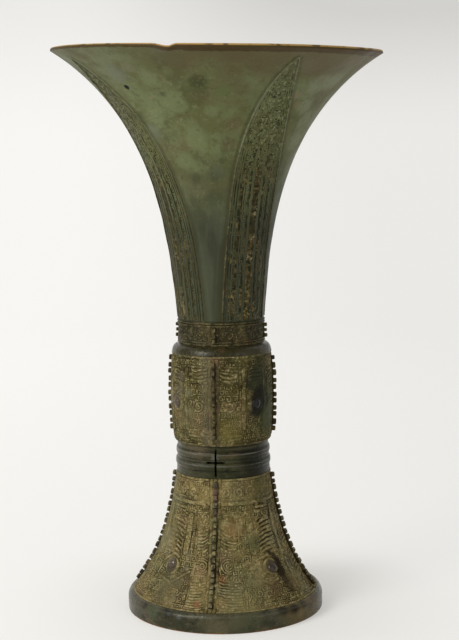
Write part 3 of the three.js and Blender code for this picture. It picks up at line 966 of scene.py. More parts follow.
def trumpet_profile():
    """The trumpet's section: its spigot, outer face, lip and bore."""
    outer = outer_profile(TRUMPET, 1.0 * MM)
    bore = []
    for z in TRUMPET.even_levels(2.2 * MM):
        share = (z - TRUMPET.low) / (TRUMPET.high - TRUMPET.low)
        r, level = TRUMPET.offset(z, -(NECK_WALL + (LIP_WALL - NECK_WALL) * share))
        bore.append((float(r), float(level)))
    bore[0] = (NECK_RADIUS - NECK_WALL, TRUMPET_LEVEL)
    lip_inner = MOUTH_RADIUS - 1.5 * LIP_WALL
    lip = [
        (MOUTH_RADIUS, MOUTH_LEVEL - 0.9 * MM),
        (MOUTH_RADIUS - 0.25 * MM, MOUTH_LEVEL - 0.3 * MM),
        (MOUTH_RADIUS - 0.8 * MM, MOUTH_LEVEL),
        (lip_inner + 0.4 * MM, MOUTH_LEVEL - 0.15 * MM),
    ]
    bore[-1] = (lip_inner, MOUTH_LEVEL - 0.6 * MM)
    foot = [
        (NECK_RADIUS - NECK_WALL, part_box("trumpet")[0].z),
        (NECK_RADIUS - NECK_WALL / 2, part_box("trumpet")[0].z),
        (NECK_RADIUS - NECK_WALL / 2, TRUMPET_LEVEL),
    ]
    return foot + outer + lip + bore[::-1]


def uneven_mouth(points):
    """Moves points by the casting's faults: a mouth that leans a little, a wavy lip and a nick in it."""
    radius = np.hypot(points[:, 0], points[:, 1])
    azimuth = np.degrees(np.arctan2(points[:, 1], points[:, 0]))
    lean_to = math.radians(FRONT_TO_CAMERA)
    across = points[:, 0] * math.cos(lean_to) + points[:, 1] * math.sin(lean_to)
    points[:, 2] -= MOUTH_LEAN * across * smooth_step(points[:, 2], MOUTH_LEVEL - 90 * MM, MOUTH_LEVEL)
    near_lip = smooth_step(points[:, 2], MOUTH_LEVEL - 22 * MM, MOUTH_LEVEL)
    wave = np.sin(np.radians(2 * azimuth + 40)) + 0.5 * np.sin(np.radians(5 * azimuth))
    points[:, 2] += LIP_WAVE * near_lip * wave
    at_edge = smooth_step(points[:, 2], MOUTH_LEVEL - 4.5 * MM, MOUTH_LEVEL - 1.5 * MM)
    turn = azimuth - (-90 + FRONT_TO_CAMERA + NICK_TURN)
    nick = smooth_step(turn, -5.2, 0.4) * (1 - smooth_step(turn, 1.2, 2.6))
    points[:, 2] -= at_edge * nick * NICK_DEPTH * (radius > 60 * MM)
    return points


class GU_OT_trumpet(bpy.types.Operator):
    """Build the trumpet mouth and throat"""

    bl_idname = "gu.trumpet"
    bl_label = "Trumpet"

    def execute(self, context):
        colours = context.scene.gu_colours
        obj = revolve("trumpet_bowl", trumpet_profile(), 320)
        pit_turn, pit_level = -35.7, MOUTH_LEVEL - 19 * MM
        pit_depth, pit_size, pit_width = 0.8, 1.0 * MM, 1.6

        def relief(azimuth, z):
            radius = trumpet_radius(z)
            turn = azimuth - math.radians(-90 + pit_turn)
            distance = np.hypot(radius * turn / pit_width, z - pit_level)
            pit = pit_depth * np.exp(-((distance / pit_size) ** 2))
            # The trumpet's relief attribute carries the painted shade beside the blades
            shade = self.painted_shade_beside_blades(azimuth, z, context.scene.gu_sizes)
            return (trumpet_dents(azimuth, z) - pit) * MM, shade

        carve(obj, TRUMPET, relief)
        set_attribute(obj.data, "rise", points_of(obj.data)[:, 2])
        set_points(obj.data, uneven_mouth(points_of(obj.data)))
        pale, moss, brown = colours.pale_green, colours.moss, colours.brown_green
        grey, russet, tan = (0.125, 0.135, 0.092), (0.12, 0.082, 0.045), (0.22, 0.16, 0.1)
        # The pale patches on the right of the flare, in the colour below, are painted light bounced up from
        # the floor
        painted_light = (0.185, 0.205, 0.115)
        patches = (
            (1, 264, 4.0, 1.6, 0.9, moss),
            (-16.5, 258, 1.8, 1.0, 0.75, moss),
            (-35, 268, 6, 2.5, 0.6, grey),
            (-27, 270, 3.5, 1.6, 0.6, (0.16, 0.168, 0.1)),
            (-20, 265, 5, 2, 0.75, pale),
            (-10, 268, 3, 1.5, 0.5, pale),
            (-12, 254, 6, 2.2, 0.75, pale),
            (-25, 250, 4.5, 2, 0.7, pale),
            (-33, 241, 4, 2, 0.5, grey),
            (6, 250, 3, 1.5, 0.6, pale),
            (-4.5, 238, 5.5, 2.2, 0.75, pale),
            (-16, 227, 4.5, 2, 0.7, pale),
            (-9, 219, 2.4, 1.4, 0.75, moss),
            (3, 211, 3, 2, 0.6, moss),
            (8, 222, 3, 2, 0.6, (0.1, 0.11, 0.062)),
            (19, 244, 4.0, 3.0, 0.65, brown),
            (17, 234.5, 3.0, 2.6, 0.6, brown),
            (21, 260, 2.6, 2.2, 0.5, brown),
            (12, 259, 3.5, 1.6, 0.65, (0.1, 0.13, 0.044)),
            (26, 271, 6, 2.5, 0.75, brown),
            (16, 274, 3.4, 1.5, 0.7, russet),
            (49, 270, 5, 2.5, 0.7, (0.125, 0.098, 0.06)),
            (60, 263, 6, 2.5, 0.7, painted_light),
            (70, 264, 6, 2.5, 0.6, painted_light),
            (61, 252, 5, 2.5, 0.7, painted_light),
            (70, 246, 5, 2.5, 0.6, painted_light),
            (50.5, 257.5, 2, 1, 0.6, tan),
            (68, 274, 4, 2, 0.6, brown),
            (72, 236, 5, 4, 0.55, painted_light),
            (54, 253, 2, 1, 0.5, tan),
            (57, 259, 1, 0.8, 0.5, tan),
            (2, 196, 5, 5, 0.5, (0.085, 0.09, 0.058)),
            (6, 182, 5, 5, 0.5, (0.07, 0.075, 0.048)),
        )
        spots = spots_at(TRUMPET, 0, patches)
        pit = uneven_mouth(np.array([front_point(TRUMPET, pit_turn, pit_level)]))[0]
        pits = [(tuple(pit), 1.5 * MM, 0.25 * MM, 1.0, colours.stain)]
        material = green_patina("mottled green patina", colours, spots, pits)
        finish_piece(obj, material, "trumpet")
        return {"FINISHED"}

    def painted_shade_beside_blades(self, azimuth, z, sizes):
        """Painted shade lies along the outside of the blades' edges, with a rubbed line beyond it."""
        from_tip = TRUMPET.run(MOUTH_LEVEL - sizes.blade_tip_drop) - TRUMPET.run(z)
        shade = np.full(len(z), 0.5)
        for corner in BLADES:
            half = blade_half(corner, from_tip, sizes) / MM
            turn = (azimuth - blade_turn(corner, z) + math.pi) % (2 * math.pi) - math.pi
            beyond = np.abs(turn) * trumpet_radius(z) / MM - half
            near = from_tip > 0
            shade = np.where(near, shade - 0.3 * np.exp(-(((beyond - 0.9) / 0.9) ** 2)), shade)
            shade = np.where(near, shade + 0.15 * np.exp(-(((beyond - 3.2) / 1.0) ** 2)), shade)
        return shade


# Each blade's place, the turns of its foot and its tip from there in degrees, and the share of the common
# taper that it narrows over. The front left one is askew and blunter.
BLADES = {
    "front_left": (-135, -3, -11.5, 0.7),
    "front_right": (-45, 0, -6, 1),
    "back_right": (45, 0, -6, 1),
    "back_left": (135, 0, -6, 1),
}
BLADE_LEAN_LEVELS = (MOUTH_LEVEL - 95 * MM, MOUTH_LEVEL - 10 * MM)
BLADE_FRET_PITCH = 3.5

# The lines beside a blade's middle column: distance from its middle and where it starts, under the tip, in mm
BLADE_COLUMN_LINES = ((2.3, 40), (3.0, 52), (5.6, 62), (6.6, 70))


def blade_turn(corner, z):
    """Azimuth of a blade's middle line at a level."""
    azimuth, foot, tip, _ = BLADES[corner]
    return np.radians(azimuth + foot + (tip - foot) * smooth_step(z, *BLADE_LEAN_LEVELS))


def blade_half(corner, from_tip, sizes):
    share = np.clip(from_tip / (sizes.blade_taper * BLADES[corner][3]), 0, 1)
    return sizes.blade_half_width * (1 - (1 - share) ** 2) ** 0.85


def blade_relief(across, from_tip, half, aside, along, sizes):
    """Height over the trumpet's wall of a blade in millimetres, with its shade and the earth caught in it.

    aside and along are how far its lines stray.
    """
    edge = half - np.abs(across)
    tall = sizes.blade_height / MM
    outline = line(edge - 0.45, 0.9)
    across = across + aside
    from_tip = from_tip + along
    groove = np.maximum(line(edge - 2.6, 0.7), 0.8 * line(edge - 3.8, 0.6))
    groove = np.maximum(line(edge - 1.35, 0.75), groove)
    inner = smooth_step(edge, 4.1, 4.3)
    row = from_tip / BLADE_FRET_PITCH
    tile = across / BLADE_FRET_PITCH + 0.5 * (np.floor(row) % 2)
    groove = np.maximum(groove, inner * fret(tile, row, 1.25))
    deep = smooth_step(from_tip, 56, 72)
    middle = np.abs(across)
    for place, start in BLADE_COLUMN_LINES:
        here = inner * smooth_step(from_tip, start, start + 10)
        strip = line(middle - place - 0.6, 1.4) * here
        groove = np.maximum(groove * (1 - strip), line(middle - place, 0.6) * here)
    column = line(middle, 3.6) * deep
    groove = blend(groove, 0.25 * groove, column)
    plate = smooth_step(edge, 0.0, 0.35)
    height = -0.35 + (0.35 + 0.25 * tall) * plate + 0.55 * tall * outline - 0.32 * groove
    return height, 1 - groove + 0.8 * outline, column


class GU_OT_blades(bpy.types.Operator):
    """Build the four rising blades on the trumpet"""

    bl_idname = "gu.blades"
    bl_label = "Blades"

    rows = 370
    columns = 104

    def execute(self, context):
        sizes = context.scene.gu_sizes
        material = self.patina(context.scene.gu_colours)
        for corner in BLADES:
            finish_piece(self.blade(corner, sizes), material, "trumpet")
        return {"FINISHED"}

    def patina(self, colours):
        """Green like the trumpet at the tips, brown below with earth in the middle column."""
        n = Nodes("blade patina")
        level = n.plus(n.axis("Z"), n.times(n.noise(60, 4), 30 * MM))
        lower = n.span(level, MOUTH_LEVEL - 22 * MM, MOUTH_LEVEL - 52 * MM)
        n.colour = n.mix(lower, colours.blade_green, colours.blade_umber)
        layers = (
            (colours.moss, 50, 4, (0.48, 0.58), 0.7, (0, 0, 0)),
            (colours.dark, 80, 4, (0.5, 0.6), 0.6, (5, 3, 7)),
            (colours.green, 120, 4, (0.56, 0.66), 0.3, (3, 3, 3)),
        )
        n.clouds(layers)
        up = n.attribute("relief")
        upper = n.math("SUBTRACT", 1.0, lower)
        ridges = n.times(n.span(up, 0.5, 0.9), n.span(n.noise(420, 3), 0.42, 0.58, 0.1, 0.95))
        n.lay(n.times(ridges, upper), (0.18, 0.19, 0.095))
        tan = n.times(ridges, n.span(n.noise(70, 4, offset=(5, 1, 1)), 0.42, 0.58, 0.1, 0.8))
        n.lay(n.times(tan, lower), (0.12, 0.095, 0.04))
        groove = n.span(up, 0.8, 0.3, 0, 0.95)
        n.lay(groove, (0.01, 0.01, 0.003))
        bands = n.span(n.noise(330, 2, 0.5, stretch=(1, 1, 0.09), offset=(3, 3, 0)), 0.5, 0.6, 0, 0.85)
        n.lay(n.times(bands, lower), (0.014, 0.013, 0.004))
        specks = n.times(n.span(n.noise(700, 3), 0.52, 0.6), n.span(n.noise(75, 4), 0.5, 0.6))
        n.lay(n.times(specks, n.times(lower, 0.4)), colours.earth)
        clumps = n.span(n.noise(120, 3, offset=(2, 2, 7)), 0.5, 0.6)
        sand = n.times(n.times(n.attribute("earth"), clumps), n.span(n.noise(850, 2), 0.44, 0.58, 0, 0.8))
        n.lay(sand, (0.3, 0.25, 0.135))
        pale = n.times(n.span(n.noise(600, 3), 0.54, 0.61), upper)
        n.lay(pale, (0.245, 0.255, 0.125))
        pits = n.span(n.noise(450, 3, offset=(4, 4, 4)), 0.53, 0.6, 0, 0.9)
        n.lay(pits, (0.012, 0.013, 0.004))
        left = n.span(n.axis("X"), 12 * MM, -20 * MM, 0, 0.5)
        n.lay(left, colours.blade_umber)
        broken = n.span(n.noise(150, 3), 0.35, 0.6, 0.5, 1.0)
        fading = n.span(n.axis("Z"), MOUTH_LEVEL - 80 * MM, MOUTH_LEVEL - 30 * MM, 0.2, 0.85)
        fading = n.times(fading, broken)
        rim = n.times(n.span(up, 1.1, 1.6), fading)
        n.lay(rim, (0.165, 0.172, 0.11))
        rough = n.span(n.noise(90, 3), 0.3, 0.7, 0.45, 0.6)
        return n.surface(rough, 0.1, n.bump(n.noise(800, 3, 0.6), 0.4, 0.4 * MM), 0.08)

    def blade(self, corner, sizes):
        """A grid bent onto the trumpet, from just under the blade's tip down to the trumpet's lower edge."""
        bm = bmesh.new()
        bmesh.ops.create_grid(bm, x_segments=self.columns, y_segments=self.rows, size=1)
        obj = object_from(bm, f"blade_{corner}")
        grid = points_of(obj.data)
        tip_run = TRUMPET.run(MOUTH_LEVEL - sizes.blade_tip_drop)
        from_tip = 0.5 * MM + (1 - grid[:, 1]) / 2 * (tip_run - 1.0 * MM)
        z = TRUMPET.level(tip_run - from_tip)
        half = blade_half(corner, from_tip, sizes)
        across = grid[:, 0] * half
        radius = trumpet_radius(z)
        turn = blade_turn(corner, z) + across / radius
        place = (turn, radius / MM, z / MM)
        aside = 0.5 * (cloud_on(*place, 3.0) + cloud_on(*place, 1.3) - 1)
        along = 0.9 * (cloud_on(turn, radius / MM, z / MM + 13, 3.0) - 0.5)
        height, shade, earth = blade_relief(across / MM, from_tip / MM, half / MM, aside, along, sizes)
        patches = smooth_step(cloud_on(turn, radius / MM, z / MM, 9), 0.2, 0.6)
        grain = cloud_on(turn, radius / MM, z / MM, 0.9) - 0.5
        height = height * (0.75 + 0.25 * patches) + trumpet_dents(turn, z) + 0.05 * grain
        r, level = TRUMPET.offset(z, height * MM)
        set_points(obj.data, np.stack([r * np.cos(turn), r * np.sin(turn), level], axis=1))
        set_attribute(obj.data, "relief", shade)
        set_attribute(obj.data, "earth", earth)
        set_points(obj.data, uneven_mouth(points_of(obj.data)))
        backing = obj.modifiers.new("backing", "SOLIDIFY")
        backing.thickness = 0.9 * MM
        backing.offset = -1
        return obj


def string(wall, level, height, width):
    """Profile points of a raised string on a wall, from below it to above it."""
    points = []
    for turn in range(0, 181, 30):
        z = level - width / 2 * math.cos(math.radians(turn))
        points.append(tuple(float(v) for v in wall.offset(z, height * math.sin(math.radians(turn)))))
    return points


# The neck band's raised lines, in mm over its lower edge, and its spirals
NECK_STRINGS = (0.8, 2.0, 10.0, 11.2)
NECK_VOLUTES = [
    (20, 5.2, 2.4, 1.5, 1),
    (34, 5.4, 2.2, 1.5, -1),
    (58, 5.4, 2.2, 1.5, 1),
    (72, 5.2, 2.4, 1.5, -1),
]


class GU_OT_neck_band(bpy.types.Operator):
    """Build the narrow band under the blades"""

    bl_idname = "gu.neck_band"
    bl_label = "Neck band"

    def execute(self, context):
        colours = context.scene.gu_colours
        inner = NECK_RADIUS - NECK_WALL
        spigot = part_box("neck_band")[0].z
        profile = [(inner, spigot), (inner + NECK_SPIGOT, spigot), (inner + NECK_SPIGOT, NECK_LEVEL)]
        profile += outer_profile(NECK, 0.25 * MM)
        profile += [(inner + NECK_SOCKET, TRUMPET_LEVEL), (inner + NECK_SOCKET, TRUMPET_LEVEL - SOCKET_DEPTH)]
        profile += [(inner, TRUMPET_LEVEL - SOCKET_DEPTH)]
        obj = revolve("neck_register", profile, 400)

        def relief(azimuth, z):
            field = Field(azimuth, z, NECK, NECK_LEVEL, KNOP_EYES, 1.5)
            run = (z - NECK_LEVEL) / MM
            pattern = Relief(field, fret(field.true_angle / 90 * 11, (run - 2.5) / 2.5, 1.5))
            pattern.volutes(NECK_VOLUTES)
            pattern.lay(0.0, line(run - 5.2, 0.8) * inside(field.true_angle, 38, 54, 0.5), 1.0)
            pattern.flange_seat(FLANGE_THICKNESS["neck"])
            pattern.lay(0.0, 1 - inside(run, 2.5, 9.6, 0.1), 0.0)
            for level in NECK_STRINGS:
                pattern.lay(0.0, line(run - level, 0.8), 1.8)
                pattern.groove = np.maximum(pattern.groove, line(run - level - 0.6, 0.4))
            pattern.wear(0.5)
            return pattern.finished(0.28 * MM, 0.22 * MM)

        carve(obj, NECK, relief)
        light = (0.045, 0.038, 0.014)
        material = relief_patina(
            "neck band patina",
            colours,
            light,
            colours.dark,
            earth_share=0.3,
            green_share=0.2,
            contrast=0.8,
            worn=0.25,
        )
        finish_piece(obj, material, "neck_band")
        return {"FINISHED"}


class GU_OT_knop(bpy.types.Operator):
    """Build the knop with its masks, in four sections between the flanges"""

    bl_idname = "gu.knop"
    bl_label = "Knop"

    def execute(self, context):
        sizes = context.scene.gu_sizes
        colours = context.scene.gu_colours
        neck_bore = NECK_RADIUS - NECK_WALL
        knop_bore = KNOP_RADIUS - KNOP_WALL
        neck_socket = neck_bore + NECK_SOCKET
        shoulder_narrow = NECK_RADIUS + 0.1 * MM
        shoulder_width = knop_radius(KNOP_BODY_HIGH) - shoulder_narrow
        shoulder_height = NECK_LEVEL - KNOP_BODY_HIGH - 0.4 * MM
        shoulder = []
        for turn in np.linspace(0, math.pi / 2, 8)[1:]:
            radius = shoulder_narrow + shoulder_width * math.cos(turn)
            shoulder.append((radius, KNOP_BODY_HIGH + shoulder_height * math.sin(turn)))
        profile = [(STEM_SOCKET, KNOP_LEVEL), (STEM_TOP_RADIUS, KNOP_LEVEL)]
        profile += outer_profile(KNOP, 0.25 * MM) + shoulder
        profile += [
            (NECK_RADIUS, NECK_LEVEL),
            (neck_socket, NECK_LEVEL),
            (neck_socket, NECK_LEVEL - SOCKET_DEPTH),
            (neck_bore, NECK_LEVEL - SOCKET_DEPTH),
            (neck_bore, NECK_LEVEL - KNOP_SHOULDER),
            (knop_bore, KNOP_BODY_HIGH - KNOP_SHOULDER),
            (knop_bore, FLOOR_LEVEL),
            (STEM_SOCKET, FLOOR_LEVEL),
        ]

        def relief(azimuth, z):
            field = Field(azimuth, z, KNOP, KNOP_LEVEL, KNOP_EYES, 1.7)
            pattern = Relief(field, field.ground(0.92 * sizes.fret_pitch / MM))
            pattern.volutes(KNOP_VOLUTES)
            pattern.combs(KNOP_COMBS)
            pattern.bars(KNOP_BARS)
            pattern.cuts(KNOP_CUTS)
            pattern.eye_socket(KNOP_EYE_LEVEL)
            pattern.flange_seat(FLANGE_THICKNESS["knop"])
            pattern.edge_lines(field.run, KNOP.runs[-1] / MM)
            pattern.wear(0.65)
            pattern.rub(KNOP_RUBBED)
            return pattern.finished(sizes.fret_depth, sizes.mask_height)

        patches = (
            (50, 18, 4.5, 2, 0.9, (0.014, 0.014, 0.011)),
            (50, 32, 6, 3, 0.8, (0.022, 0.025, 0.013)),
            (57, 22, 7, 1.5, 0.95, colours.stain),
            (57, 38, 7, 4, 0.7, (0.026, 0.03, 0.012)),
            (72, 12, 8, 4, 0.85, (0.03, 0.038, 0.011)),
            (80, 26, 7, 4, 0.7, (0.03, 0.036, 0.012)),
            (-52, 22, 3.6, 2, 0.8, (0.105, 0.082, 0.056)),
            (-44, 28, 2.8, 2, 0.65, (0.11, 0.085, 0.06)),
            (-44, 34, 2.8, 2, 0.6, (0.1, 0.08, 0.055)),
            (-30, 27, 1.6, 2, 0.6, (0.16, 0.155, 0.085)),
            (-30, 18, 1.6, 2, 0.6, (0.16, 0.155, 0.085)),
            (16, 8, 6, 5, 0.6, (0.17, 0.14, 0.036)),
            (-34, 14, 7, 5, 0.3, (0.17, 0.148, 0.075)),
            (4, 20, 1.2, 1, 0.6, (0.1, 0.065, 0.05)),
        )
        spots = spots_at(KNOP, KNOP_LEVEL, patches)
        strips = ((-7, -0.6, 0.4, (0.12, 0.105, 0.066)), (0.6, 2.8, 0.5, (0.085, 0.062, 0.042)))
        light, dark = (0.098, 0.083, 0.025), (0.052, 0.045, 0.014)
        material = relief_patina(
            "knop patina",
            colours,
            light,
            dark,
            earth_share=0.3,
            spots=spots,
            green_share=0.5,
            worn=0.6,
            strips=strips,
        )
        base = (0.032, 0.027, 0.01)
        shoulder_material = dark_patina("knop shoulder patina", colours, light_share=0.4, base=base)
        for obj in carved_quarters("knop", profile, 170, KNOP, relief, material):
            self.darken_shoulder(obj, shoulder_material)
        return {"FINISHED"}

    def darken_shoulder(self, obj, material):
        """The plain shoulder over the masks has the smooth dark finish of the stem."""
        obj.data.materials.append(material)
        for face in obj.data.polygons:
            if face.center.z > KNOP_BODY_HIGH + 0.15 * MM:
                face.material_index = 1


class GU_OT_foot(bpy.types.Operator):
    """Build the flared foot with its masks, in four sections between the flanges"""

    bl_idname = "gu.foot"
    bl_label = "Foot"

    upper_register = 48.6 * MM

    def execute(self, context):
        sizes = context.scene.gu_sizes
        colours = context.scene.gu_colours
        spigot_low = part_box("foot")[0].z
        inner = []
        socket_low = STEM_LEVEL - 3.3 * MM
        for z in np.linspace(FOOT_LEVEL, socket_low, 12):
            r, level = FOOT.offset(z, -FOOT_WALL)
            inner.append((float(r), float(level)))
        inner[0] = (inner[0][0], FOOT_LEVEL)
        inner[-1] = (STEM_SOCKET, socket_low)
        spigot = inner[0][0] + (FOOT_HEM_RADIUS - inner[0][0] - 0.3 * MM) / 2
        profile = [(inner[0][0], spigot_low), (spigot, spigot_low), (spigot, FOOT_LEVEL)]
        profile += outer_profile(FOOT, 0.28 * MM) + [(STEM_SOCKET, STEM_LEVEL)] + inner[::-1]
        edge_run = FOOT.run(FOOT_LEVEL + self.upper_register) / MM

        def relief(azimuth, z):
            field = Field(azimuth, z, FOOT, FOOT_LEVEL, FOOT_EYES)
            pattern = Relief(field, field.ground(sizes.fret_pitch / MM))
            pattern.arcs(FOOT_ARCS)
            pattern.volutes(FOOT_VOLUTES)
            pattern.combs(FOOT_COMBS)
            pattern.bars(FOOT_BARS)
            pattern.cuts(FOOT_CUTS)
            pattern.eye_socket(FOOT_EYE_LEVEL)
            pattern.edge_lines(field.run, edge_run)
            self.serpents(pattern, field, field.run - edge_run)
            pattern.edge_lines(np.abs(field.run - edge_run), 99)
            pattern.edge_lines(FOOT.runs[-1] / MM - field.run, 99)
            pattern.flange_seat(FLANGE_THICKNESS["foot"])
            pattern.wear(0.8)
            pattern.rub(FOOT_RUBBED)
            return pattern.finished(sizes.fret_depth, sizes.mask_height)

        # The stains' levels are over the ground, and the patches' over the register's lower edge
        stains = (
            (52, 33, 1.4, 0.8, 0.9, (0.02, 0.013, 0.004)),
            (55.5, 31, 1.8, 0.8, 0.9, (0.02, 0.013, 0.004)),
            (58, 27.5, 2.6, 0.8, 0.95, (0.018, 0.011, 0.003)),
            (58.5, 23.5, 2.8, 0.8, 0.95, (0.018, 0.011, 0.003)),
            (59.5, 19.5, 2.6, 1, 0.85, (0.024, 0.015, 0.005)),
            (60.5, 15.5, 2.4, 1.2, 0.75, (0.026, 0.017, 0.005)),
            (-40, 15.2, 2, 1.2, 0.7, (0.06, 0.042, 0.022)),
            (-28.3, 20, 2, 2.5, 0.5, (0.13, 0.138, 0.08)),
            (-27.3, 15, 1.6, 2.5, 0.5, (0.12, 0.128, 0.08)),
            (-24.4, 33, 2, 2.5, 0.5, (0.15, 0.145, 0.08)),
            (-24.4, 28, 2, 2.5, 0.5, (0.15, 0.145, 0.08)),
            (-9, 13, 1.6, 1.2, 0.7, (0.22, 0.095, 0.045)),
            (-12, 26, 3, 2, 0.4, (0.2, 0.125, 0.07)),
        )
        patches = (
            (25, 55, 6, 5, 0.4, (0.24, 0.19, 0.09)),
            (-34, 5, 10, 6, 0.45, (0.075, 0.062, 0.03)),
            (22, 4, 9, 6, 0.45, (0.22, 0.19, 0.08)),
            (17, 37, 4, 5, 0.5, (0.2, 0.105, 0.04)),
            (7, 14, 1.5, 2, 0.5, (0.24, 0.09, 0.03)),
            (32, 10, 8, 7, 0.4, (0.1, 0.098, 0.036)),
            (43, 11, 5, 4, 0.35, (0.19, 0.14, 0.06)),
            (38, 30, 4, 5, 0.5, (0.1, 0.1, 0.045)),
            (-40, 8, 5, 5, 0.4, (0.11, 0.11, 0.06)),
            (60, 56, 6, 5, 0.5, (0.07, 0.07, 0.025)),
            (-62, 45, 5, 5, 0.5, (0.13, 0.14, 0.075)),
            (-62, 28, 5, 5, 0.5, (0.14, 0.14, 0.08)),
            (-24, 12, 4, 4, 0.45, (0.075, 0.066, 0.03)),
            (-50, 34, 4, 4, 0.4, (0.09, 0.09, 0.045)),
            (66, 9, 4, 3, 0.5, (0.15, 0.11, 0.045)),
            (47, 8, 4, 3, 0.5, (0.09, 0.062, 0.028)),
            (8, 24, 4, 4, 0.4, (0.2, 0.14, 0.07)),
            (-FOOT_EYES["left"], FOOT_EYE_LEVEL, 3.4, 0.6, 0.9, (0.06, 0.045, 0.03)),
            (FOOT_EYES["right"], FOOT_EYE_LEVEL, 3.4, 0.6, 0.9, (0.06, 0.045, 0.03)),
        )
        spots = spots_at(FOOT, 0, stains) + spots_at(FOOT, FOOT_LEVEL, patches)
        material = relief_patina(
            "foot patina",
            colours,
            colours.olive,
            colours.umber,
            spots=spots,
            contrast=0.95,
            worn=0.8,
        )
        carved_quarters("foot", profile, 260, FOOT, relief, material)
        return {"FINISHED"}

    def serpents(self, pattern, field, up):
        """The narrow upper register: a fine fret under looped serpents."""
        here = (up > 0).astype(float)
        pattern.lay(fret(field.true_angle / 90 * 14, up / 2.7, 1.5), here)
        for angle, hand in ((12, 1), (27, -1), (42, 1), (56, -1), (68, 1), (79, -1)):
            x = field.radius * np.radians(field.true_angle - angle)
            y = (up - 5.6) * 0.8
            distance = np.hypot(x, y)
            wave = np.cos(2 * math.pi * (distance / 1.5 - hand * np.arctan2(y, x) / (2 * math.pi)))
            cover = here * (1 - smooth_step(distance, 1.9, 2.3))
            pattern.lay(1 - smooth_step(wave, -0.7, 0.1), cover, 0.6)
        for angle in (19.5, 34.5, 49, 62, 73.5):
            x = field.radius * np.radians(field.true_angle - angle)
            pattern.groove = np.maximum(pattern.groove, here * line(x, 0.5) * inside(up, 3, 9, 0.3))


# The stem's two raised strings, as drops from the knop in mm
STEM_STRINGS = (10.4, 4.8)


class GU_OT_stem(bpy.types.Operator):
    """Build the plain stem with its strings and its two cross openings"""

    bl_idname = "gu.stem"
    bl_label = "Stem"

    def execute(self, context):
        sizes = context.scene.gu_sizes
        colours = context.scene.gu_colours
        inner = STEM_TOP_RADIUS - STEM_WALL
        spigot = inner + STEM_SPIGOT
        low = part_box("stem")[0].z
        edge = 0.3 * MM
        string_height, string_width, beside = 0.6 * MM, 3.8 * MM, 2.4 * MM
        profile = [(inner, low), (spigot, low), (spigot, STEM_LEVEL)]
        profile += [(STEM_BOTTOM_RADIUS - edge, STEM_LEVEL), (STEM_BOTTOM_RADIUS, STEM_LEVEL + edge)]
        for drop in STEM_STRINGS:
            level = KNOP_LEVEL - drop * MM
            profile.append((float(stem_radius(level - beside)), level - beside))
            profile += string(STEM, level, string_height, string_width)
            profile.append((float(stem_radius(level + beside)), level + beside))
        profile += [(STEM_TOP_RADIUS, KNOP_LEVEL - 0.05 * MM), (spigot, KNOP_LEVEL), (spigot, FLOOR_LEVEL)]
        profile += [(inner, FLOOR_LEVEL)]
        obj = revolve("stem_band", profile, 192)
        dent(obj, STEM_TOP_RADIUS - 0.4 * MM, stem_dents)
        middle = (STEM_LEVEL + KNOP_LEVEL) / 2
        for width, height in ((sizes.cross_slot, sizes.cross_height), (sizes.cross_width, sizes.cross_slot)):
            self.cut(obj, width, height, middle)
        obj.data.set_sharp_from_angle(angle=math.radians(40))
        patches = (
            (42, 14, 3, 2, 0.85, colours.stain),
            (58, 15, 5, 3, 0.7, (0.02, 0.018, 0.008)),
            (48, 8, 3, 2, 0.85, colours.stain),
            (66, 7, 6, 3, 0.85, colours.stain),
            (55, 2, 4, 2, 0.7, colours.stain),
            # Partly black stains and partly painted shade: this patch darkens the stem's right side, away
            # from the key lamp
            (66, 9, 15, 5, 0.9, (0.012, 0.012, 0.004)),
            (-45, 9, 9, 7, 0.6, (0.075, 0.07, 0.042)),
            (-25, 15, 5, 3, 0.6, (0.1, 0.075, 0.045)),
            (-1, 10.5, 1.6, 1.5, 0.7, (0.15, 0.155, 0.145)),
        )
        spots = spots_at(STEM, STEM_LEVEL, patches)
        # Painted shade in the creases beside the strings, and painted highlights along the strings (the glint
        # lines), laid as lines of the patina
        crease_shade, glint = (0.008, 0.008, 0.004), (0.15, 0.152, 0.13)
        wear = [(KNOP_LEVEL - drop * MM, 0.5 * MM, 0.8, crease_shade) for drop in (2.9, 6.9, 8.4, 12.6)]
        wear.append((KNOP_LEVEL - 1.4 * MM, 0.9 * MM, 0.6, (0.085, 0.075, 0.036)))
        wear += [(KNOP_LEVEL - drop * MM, 0.45 * MM, 0.8, glint) for drop in (4.2, 9.8)]
        material = dark_patina(
            "stem patina",
            colours,
            spots,
            light_share=0.6,
            base=(0.026, 0.027, 0.011),
            light=(0.066, 0.064, 0.03),
            wear=wear,
            stretch=(1, 1, 3.5),
            specular=0.13,
        )
        finish_piece(obj, material, "stem")
        return {"FINISHED"}

    def cut(self, obj, width, height, middle):
        """Cuts one bar of the cross through the wall, in front and behind."""
        bm = bmesh.new()
        bmesh.ops.create_cube(bm, size=1)
        bmesh.ops.scale(bm, vec=(width, 4 * STEM_BOTTOM_RADIUS, height), verts=bm.verts)
        bmesh.ops.translate(bm, vec=(0, 0, middle), verts=bm.verts)
        cutter = object_from(bm, "cutter")
        modifier = obj.modifiers.new("opening", "BOOLEAN")
        modifier.operation = "DIFFERENCE"
        modifier.solver = "EXACT"
        modifier.object = cutter
        graph = bpy.context.evaluated_depsgraph_get()
        cut_mesh = bpy.data.meshes.new_from_object(obj.evaluated_get(graph))
        obj.modifiers.clear()
        obj.data = cut_mesh
        bpy.data.objects.remove(cutter)


